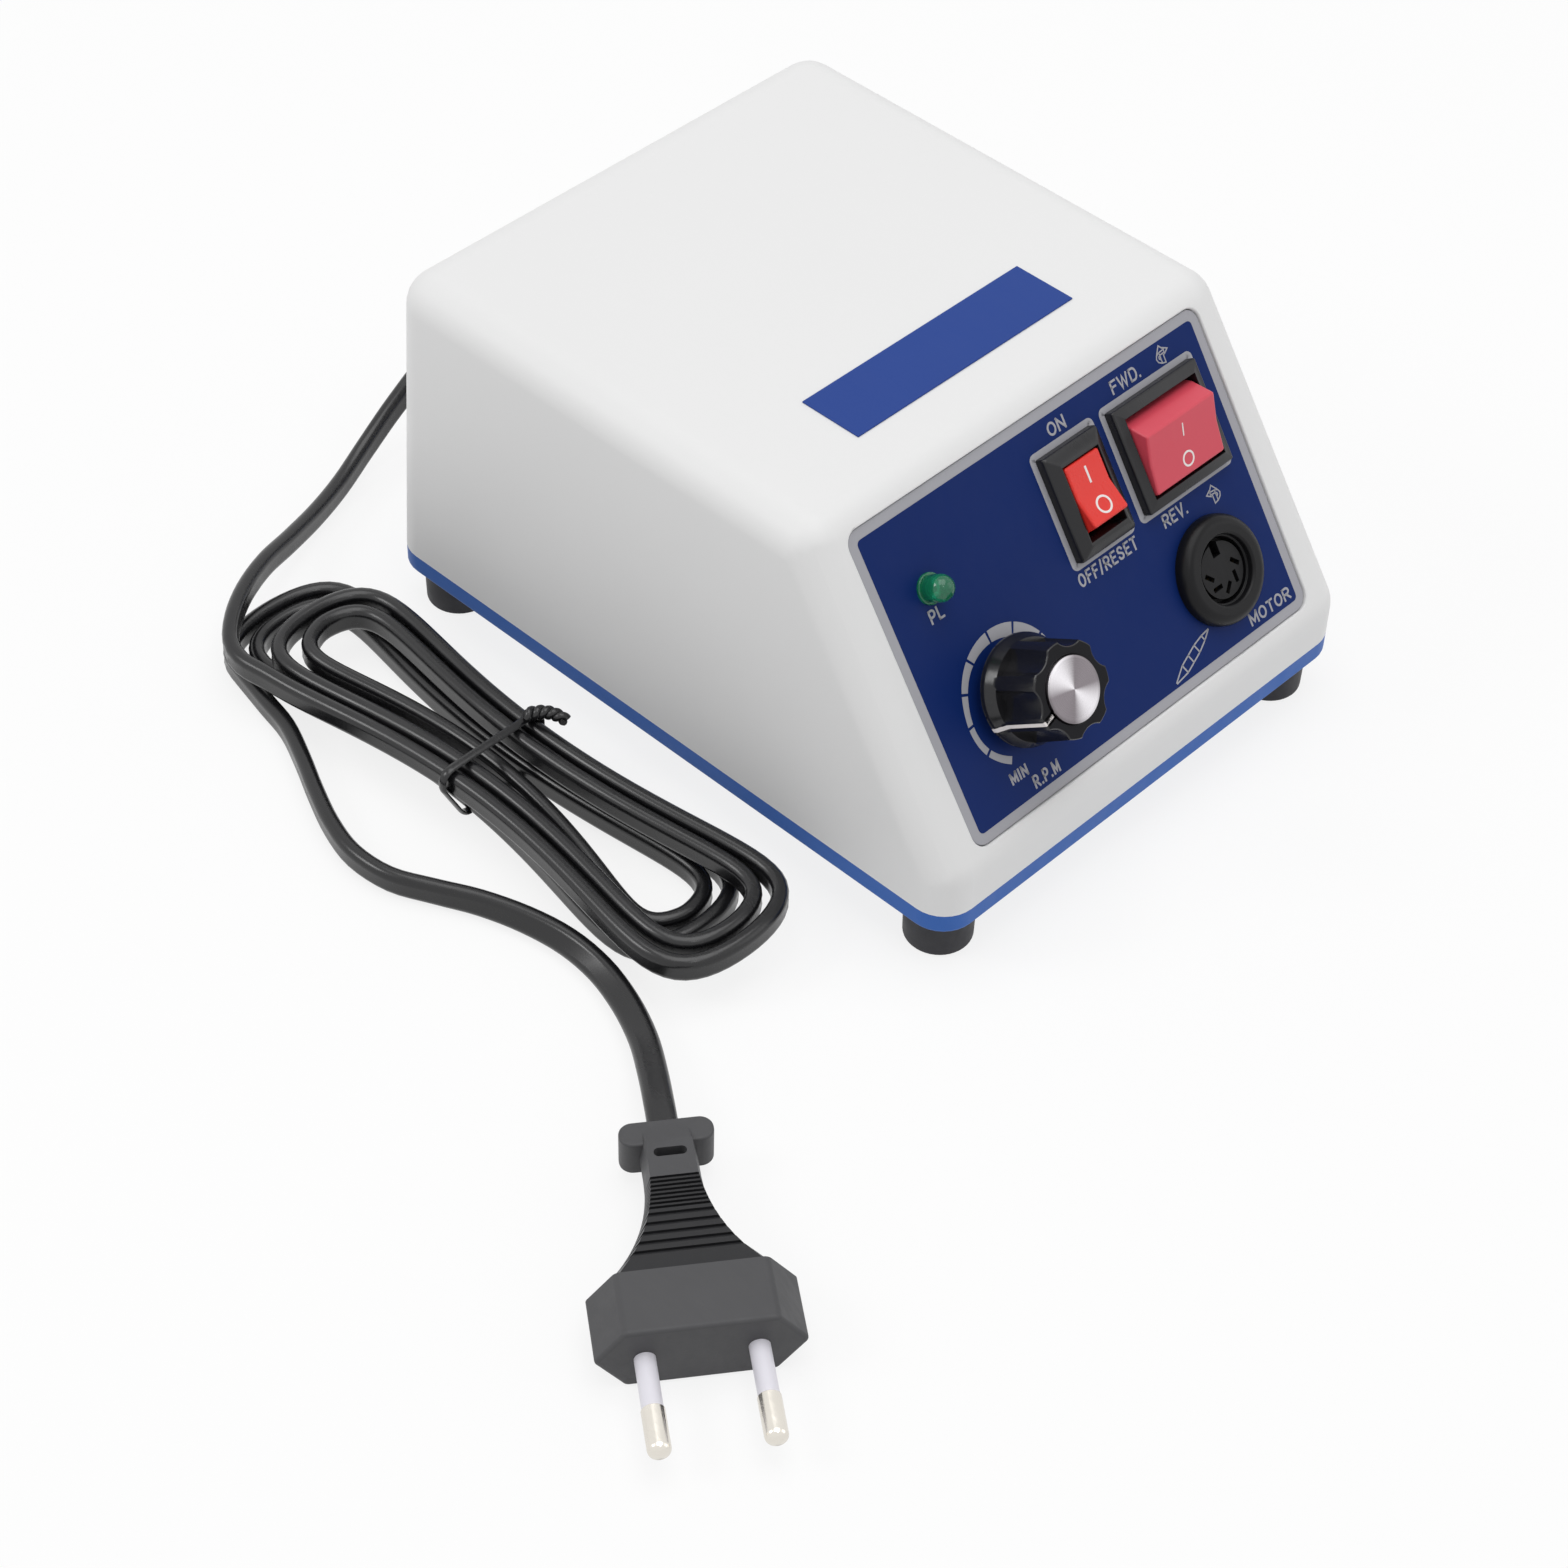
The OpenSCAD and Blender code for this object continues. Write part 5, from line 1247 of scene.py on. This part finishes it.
def make_outline(node_name):
    """A silver outline with round corners round a switch's bezel."""
    low, high = panel_box(node_name)
    middle = (low + high) / 2
    bpy.ops.object.select_all(action="DESELECT")
    bpy.ops.mesh.primitive_plane_add(size=1)
    piece = bpy.context.view_layer.objects.active
    grow = 2 * sizes().outline
    with editing(piece):
        bpy.ops.transform.resize(value=(high.x - low.x + grow, high.y - low.y + grow, 1))
        bpy.ops.mesh.bevel(offset=sizes().outline_corner, segments=5, affect="VERTICES")
        bpy.ops.mesh.select_all(action="SELECT")
        bpy.ops.mesh.inset(thickness=2 * sizes().outline)
        bpy.ops.mesh.delete(type="FACE")
    piece.data.transform(Matrix.Translation((middle.x, middle.y, 0)))
    thicken(piece, sizes().print_rise)
    return piece


def make_field():
    """The blue print: the plate's face, trimmed inside its silver border."""
    piece = copy_of("front_panel", "panel_print")
    piece.data.transform(PANEL.inverted())
    low, high = panel_box("front_panel")
    inset = Vector((sizes().border, sizes().border, 0))
    low += inset
    high -= inset

    def at_corner(vert):
        to_side = min(abs(vert.co.x - low.x), abs(vert.co.x - high.x))
        to_end = min(abs(vert.co.y - low.y), abs(vert.co.y - high.y))
        return max(to_side, to_end) < TRIM_NEAR

    def off_face(face):
        return face.normal.z < FACE_UP or abs(face.calc_center_median().z) > FLUSH

    with editing(piece):
        choose(piece, "FACE", off_face)
        bpy.ops.mesh.delete(type="FACE")
        bpy.ops.mesh.select_mode(type="VERT")
        for corner, way in ((low, (-1, 0, 0)), (high, (1, 0, 0)), (low, (0, -1, 0)), (high, (0, 1, 0))):
            bpy.ops.mesh.select_all(action="SELECT")
            bpy.ops.mesh.bisect(plane_co=corner, plane_no=way, clear_outer=True)
        choose(piece, "VERT", at_corner)
        bpy.ops.mesh.bevel(offset=sizes().field_corner, segments=4, affect="VERTICES")
    apply_modifier(piece, "SOLIDIFY", thickness=sizes().print_rise, offset=1.0)
    piece.data.transform(PANEL)
    return piece


class UNIT_OT_panel(bpy.types.Operator):
    """Adds the panel plate and its printed field, outlines, dial and legends"""

    bl_idname = "unit.panel"
    bl_label = "Panel"

    def execute(self, context):
        dressed(
            "front_panel", "panel_plate", "case", "panel_blue", "Silver ink", sizes().plate_round
        )
        settle(make_field(), "case", "panel_blue", "Panel print")
        printed = on_panel((0, 0), sizes().print_rise)
        dial = make_dial()
        outlines = join("switch_outlines", [make_outline(f"{switch}_switch_body") for switch in ROCKERS])
        words = [piece for legend in LEGENDS for piece in make_legend(*legend)]
        for centre, way in TURN_SIGNS:
            words += make_turn_sign(centre, way)
        words += make_handpiece_sign()
        for piece in (dial, outlines, join("panel_legends", words)):
            piece.data.transform(printed)
            settle(piece, "case", "panel_blue", "Silver ink")
        return {"FINISHED"}


# Rocker switches: slot and finish, tilt at rest, height of the dip above the axis, slope of the
# faces, and the place, size and line width of the marks

ROCKERS = {
    "power": dict(
        slot="rocker_orange", look="Orange red", tilt=-10, dip=5.6, face=10,
        bar=(2.9, 3.3, 0.46), ring=(-3.3, 1.55, 0.42),
    ),
    "direction": dict(
        slot="rocker_red", look="Dull red", tilt=14, dip=6.4, face=4.8,
        bar=(2.9, 2.6, 0.3), ring=(-3.05, 1.35, 0.38),
    ),
}
MARK_RISE = 0.06 * MM
RING_SIDES = 32
BEZEL_FOOT = 0.5 * MM
BEZEL_LIP = 0.1 * MM


def face_frame(switch, along):
    """Frame on a rocker's upper or lower face, with its zero at the dip."""
    facts = ROCKERS[switch]
    pivot = Matrix.Translation(JOINTS[f"{switch}_rocker_tilt"]["pos_m"])
    tilt = Matrix.Rotation(math.radians(facts["tilt"]), 4, "X")
    lean = Matrix.Rotation(math.radians(math.copysign(facts["face"], along)), 4, "X")
    return pivot @ PANEL_TURN.to_4x4() @ tilt @ Matrix.Translation((0, 0, facts["dip"] * MM)) @ lean


def make_mark(name, frame_there, points, wide, closed):
    """A line printed on a rocker's face."""
    mark = flat_piece(name, *ribbon(points, wide, closed))
    thicken(mark, MARK_RISE)
    mark.data.transform(frame_there)
    return mark


def make_marks(switch):
    """The bar and the ring printed on a rocker."""
    at, tall, wide = ROCKERS[switch]["bar"]
    points = [(0, at - tall / 2), (0, at + tall / 2)]
    bar = make_mark("bar_mark", face_frame(switch, at), points, wide, False)
    at, radius, wide = ROCKERS[switch]["ring"]
    points = arc((0, at), radius, 0, 360 - 360 / RING_SIDES, RING_SIDES - 1)
    ring = make_mark("ring_mark", face_frame(switch, at), points, wide, True)
    marks = join(f"{switch}_marks", [bar, ring])
    return settle(marks, f"{switch}_rocker", "pointer_white", "White ink")


def make_bezel(switch):
    """A switch's body, with soft edges on the bezel that stands above the panel."""
    node_name = f"{switch}_switch_body"
    bezel = copy_of(node_name, f"{switch}_bezel")
    lip = panel_box(node_name)[1].z - BEZEL_LIP
    round_where(bezel, PANEL, lambda point: BEZEL_FOOT < point.z < lip, sizes().bezel_round)
    round_where(bezel, PANEL, lambda point: point.z > lip, sizes().lip_round, segments=3)
    smooth(bezel)
    return settle(bezel, "case", "black_plastic", "Satin black", node_name)


def make_rocker(switch):
    """A rocker, with soft edges above the panel."""
    body = f"{switch}_rocker"
    rocker = copy_of(body, f"{switch}_key")
    round_where(rocker, PANEL, lambda point: point.z > 0, sizes().control_round)
    smooth(rocker)
    return settle(rocker, body, ROCKERS[switch]["slot"], ROCKERS[switch]["look"], body)


class UNIT_OT_switches(bpy.types.Operator):
    """Adds the two rocker switches with their marks"""

    bl_idname = "unit.switches"
    bl_label = "Switches"

    def execute(self, context):
        for switch in ROCKERS:
            make_bezel(switch)
            make_rocker(switch)
            make_marks(switch)
        return {"FINISHED"}


# Pilot lamp: outlines in millimetres from its axis and from the panel's face

LAMP_RADIUS = 2.5
LAMP_RIM = 2.9
LAMP_CLIP = 1
RIM_FROM = 0.06
RIM_ROUND = 0.25
RIM_SIDE = 0.4
LAMP_CUP = [(0, -1), (0.9, -1), (1.1, 1.2), (0.9, 1.2), (0.5, 0.8), (0, 0.8)]


class UNIT_OT_lamp(bpy.types.Operator):
    """Adds the pilot lamp's lens and the small cup inside it"""

    bl_idname = "unit.lamp"
    bl_label = "Pilot lamp"

    def execute(self, context):
        low, high = panel_box("pilot_lamp")
        place = on_panel(panel_place("pilot_lamp"))
        foot = low.z / MM
        dome = high.z / MM - LAMP_RADIUS
        outline = [
            (0, foot), (LAMP_RIM, foot), (LAMP_RIM, foot + LAMP_CLIP), (LAMP_RADIUS, foot + LAMP_CLIP),
            (LAMP_RADIUS, RIM_FROM), (LAMP_RIM, RIM_FROM),
        ]
        outline += arc((LAMP_RIM - RIM_ROUND, RIM_SIDE), RIM_ROUND, 0, 90, 4)
        outline += [(LAMP_RADIUS, RIM_SIDE + RIM_ROUND), (LAMP_RADIUS, dome)]
        outline += arc((0, dome), LAMP_RADIUS, 0, 90, 12)[1:]
        lens = lathe("lamp_lens", outline, place, closed=False)
        smooth(lens, angle=50)
        settle(lens, "case", "lamp_green", "Green lens", "pilot_lamp")
        cup = lathe("lamp_cup", LAMP_CUP, place, closed=False)
        smooth(cup, angle=40)
        settle(cup, "case", "steel", "Lamp cup")
        return {"FINISHED"}


# Speed knob, in millimetres from its axis and from the panel's face

SKIRT_TOP = 5
SKIRT_IN = 9.6
KNOB_FACE = 12
KNOB_RIM = 0.05
FRONT_LEAN = 0.97
CAP_RIM = 0.35
CAP_ROUND = 0.1
CAP_HOLE = 0.05
CAP_RINGS = 10


def make_knob():
    """The knob's grip, with a soft skirt and front edge and a matt front."""
    knob = copy_of("speed_knob", "knob_grip")
    there = on_panel(panel_place("speed_knob"))
    to_panel = PANEL.inverted()
    rim = panel_box("speed_knob")[1].z - KNOB_RIM * MM

    def on_skirt(point):
        return point.z < SKIRT_TOP * MM and point.xy.length > SKIRT_IN * MM

    def in_front(face):
        ahead = face.normal.dot(PANEL_NORMAL) > FRONT_LEAN
        return ahead and (to_panel @ face.center).z > KNOB_FACE * MM

    round_where(knob, there, on_skirt, sizes().skirt_round, segments=5, angle=15, clamp=True)
    round_where(knob, there, lambda point: point.z > rim, sizes().knob_round)
    smooth(knob)
    settle(knob, "knob", "black_plastic", "Gloss black", "speed_knob")
    paint(knob, "Matt black", in_front)
    return knob


def make_cap():
    """A turned disc with a bevelled rim, charted by angle and radius."""
    low, high = panel_box("knob_cap")
    radius = (high.x - low.x) / 2 / MM
    foot, top = low.z / MM, high.z / MM
    outline = [
        (CAP_HOLE, foot), (radius, foot), (radius, top - CAP_RIM), (radius - CAP_ROUND, top - CAP_ROUND),
        (radius - CAP_RIM, top),
    ]
    outline += [(radius * i / CAP_RINGS, top) for i in range(CAP_RINGS - 1, 0, -1)] + [(CAP_HOLE, top)]
    cap = lathe("spun_cap", outline, Matrix.Identity(4))
    chart = cap.data.uv_layers.new(name="Rings")
    for face in cap.data.polygons:
        spots = [cap.data.vertices[i].co for i in face.vertices]
        angles = [math.atan2(spot.y, spot.x) / TURN for spot in spots]
        wraps = max(angles) - min(angles) > 0.5
        for loop, spot, angle in zip(face.loop_indices, spots, angles):
            turn = angle + 1 if wraps and angle < 0 else angle
            chart.data[loop].uv = (turn, spot.xy.length / (radius * MM))
    cap.data.transform(on_panel(panel_place("speed_knob")))
    smooth(cap, angle=30)
    return settle(cap, "knob", "cap_aluminium", SPUN_AND_PAINTED, "knob_cap")


class UNIT_OT_knob(bpy.types.Operator):
    """Adds the speed knob with its pointer and spun cap"""

    bl_idname = "unit.knob"
    bl_label = "Speed knob"

    def execute(self, context):
        make_knob()
        dressed(
            "knob_pointer", "pointer_line", "knob", "pointer_white", "White ink", sizes().pointer_round
        )
        make_cap()
        return {"FINISHED"}


# Motor socket

class UNIT_OT_socket(bpy.types.Operator):
    """Adds the round motor socket and its slit insert"""

    bl_idname = "unit.socket"
    bl_label = "Motor socket"

    def execute(self, context):
        dressed(
            "motor_socket", "socket_collar", "case", "black_plastic", "Socket black",
            sizes().socket_round, angle=28,
        )
        dressed("socket_insert", "socket_face", "case", "insulator", "Insulator")
        return {"FINISHED"}


# Pieces inside the case, which keep their shape

INNER_FINISHES = {
    "Plated steel": [
        "case_screws", "power_switch_terminals", "direction_switch_terminals", "pilot_lamp_leads",
        "knob_grub_screw", "pot_shaft", "pot_nut", "pot_washer", "pot_terminals", "pot_body",
        "socket_nut", "transformer_bracket", "transformer_screws", "board_screws", "fuse_clips",
    ],
    "Brass": ["knob_bush", "pot_bushing", "socket_contacts", "board_standoffs"],
    "Core steel": ["transformer_core"],
    "Copper turns": ["transformer_winding"],
    "Board green": ["control_board"],
    "Component black": ["filter_capacitor", "bridge_rectifier", "power_transistor"],
    "Sink aluminium": ["heat_sink"],
    "Fuse glass": ["fuse"],
    "Terminal green": ["terminal_block"],
}


class UNIT_OT_inner(bpy.types.Operator):
    """Gives the pieces inside the case their finishes"""

    bl_idname = "unit.inner"
    bl_label = "Inner pieces"

    def execute(self, context):
        for look, names in INNER_FINISHES.items():
            for name in names:
                for slot in NODES[name].material_slots:
                    slot.material = finish(look)
        return {"FINISHED"}


OPERATORS = (
    UNIT_OT_stage, UNIT_OT_mains_cord, UNIT_OT_case, UNIT_OT_panel, UNIT_OT_switches,
    UNIT_OT_lamp, UNIT_OT_knob, UNIT_OT_socket, UNIT_OT_inner,
)


class UNIT_PT_panel(bpy.types.Panel):
    """Lists the pieces of the control unit"""

    bl_label = "Control unit"
    bl_idname = "UNIT_PT_panel"
    bl_space_type = "VIEW_3D"
    bl_region_type = "UI"
    bl_category = "Control unit"

    def draw(self, context):
        for operator in OPERATORS:
            self.layout.operator(operator.bl_idname)
        for settings in (context.scene.unit_sizes, context.scene.unit_colours):
            for name in settings.__annotations__:
                self.layout.prop(settings, name)


CLASSES = (UnitSizes, UnitColours, *OPERATORS, UNIT_PT_panel)


def register():
    for item in CLASSES:
        bpy.utils.register_class(item)
    bpy.types.Scene.unit_sizes = PointerProperty(type=UnitSizes)
    bpy.types.Scene.unit_colours = PointerProperty(type=UnitColours)


def unregister():
    del bpy.types.Scene.unit_colours
    del bpy.types.Scene.unit_sizes
    for item in reversed(CLASSES):
        bpy.utils.unregister_class(item)


def main():
    register()
    bpy.ops.unit.stage()
    bpy.ops.unit.mains_cord()
    bpy.ops.unit.case()
    bpy.ops.unit.panel()
    bpy.ops.unit.switches()
    bpy.ops.unit.lamp()
    bpy.ops.unit.knob()
    bpy.ops.unit.socket()
    bpy.ops.unit.inner()


if __name__ == "__main__":
    main()
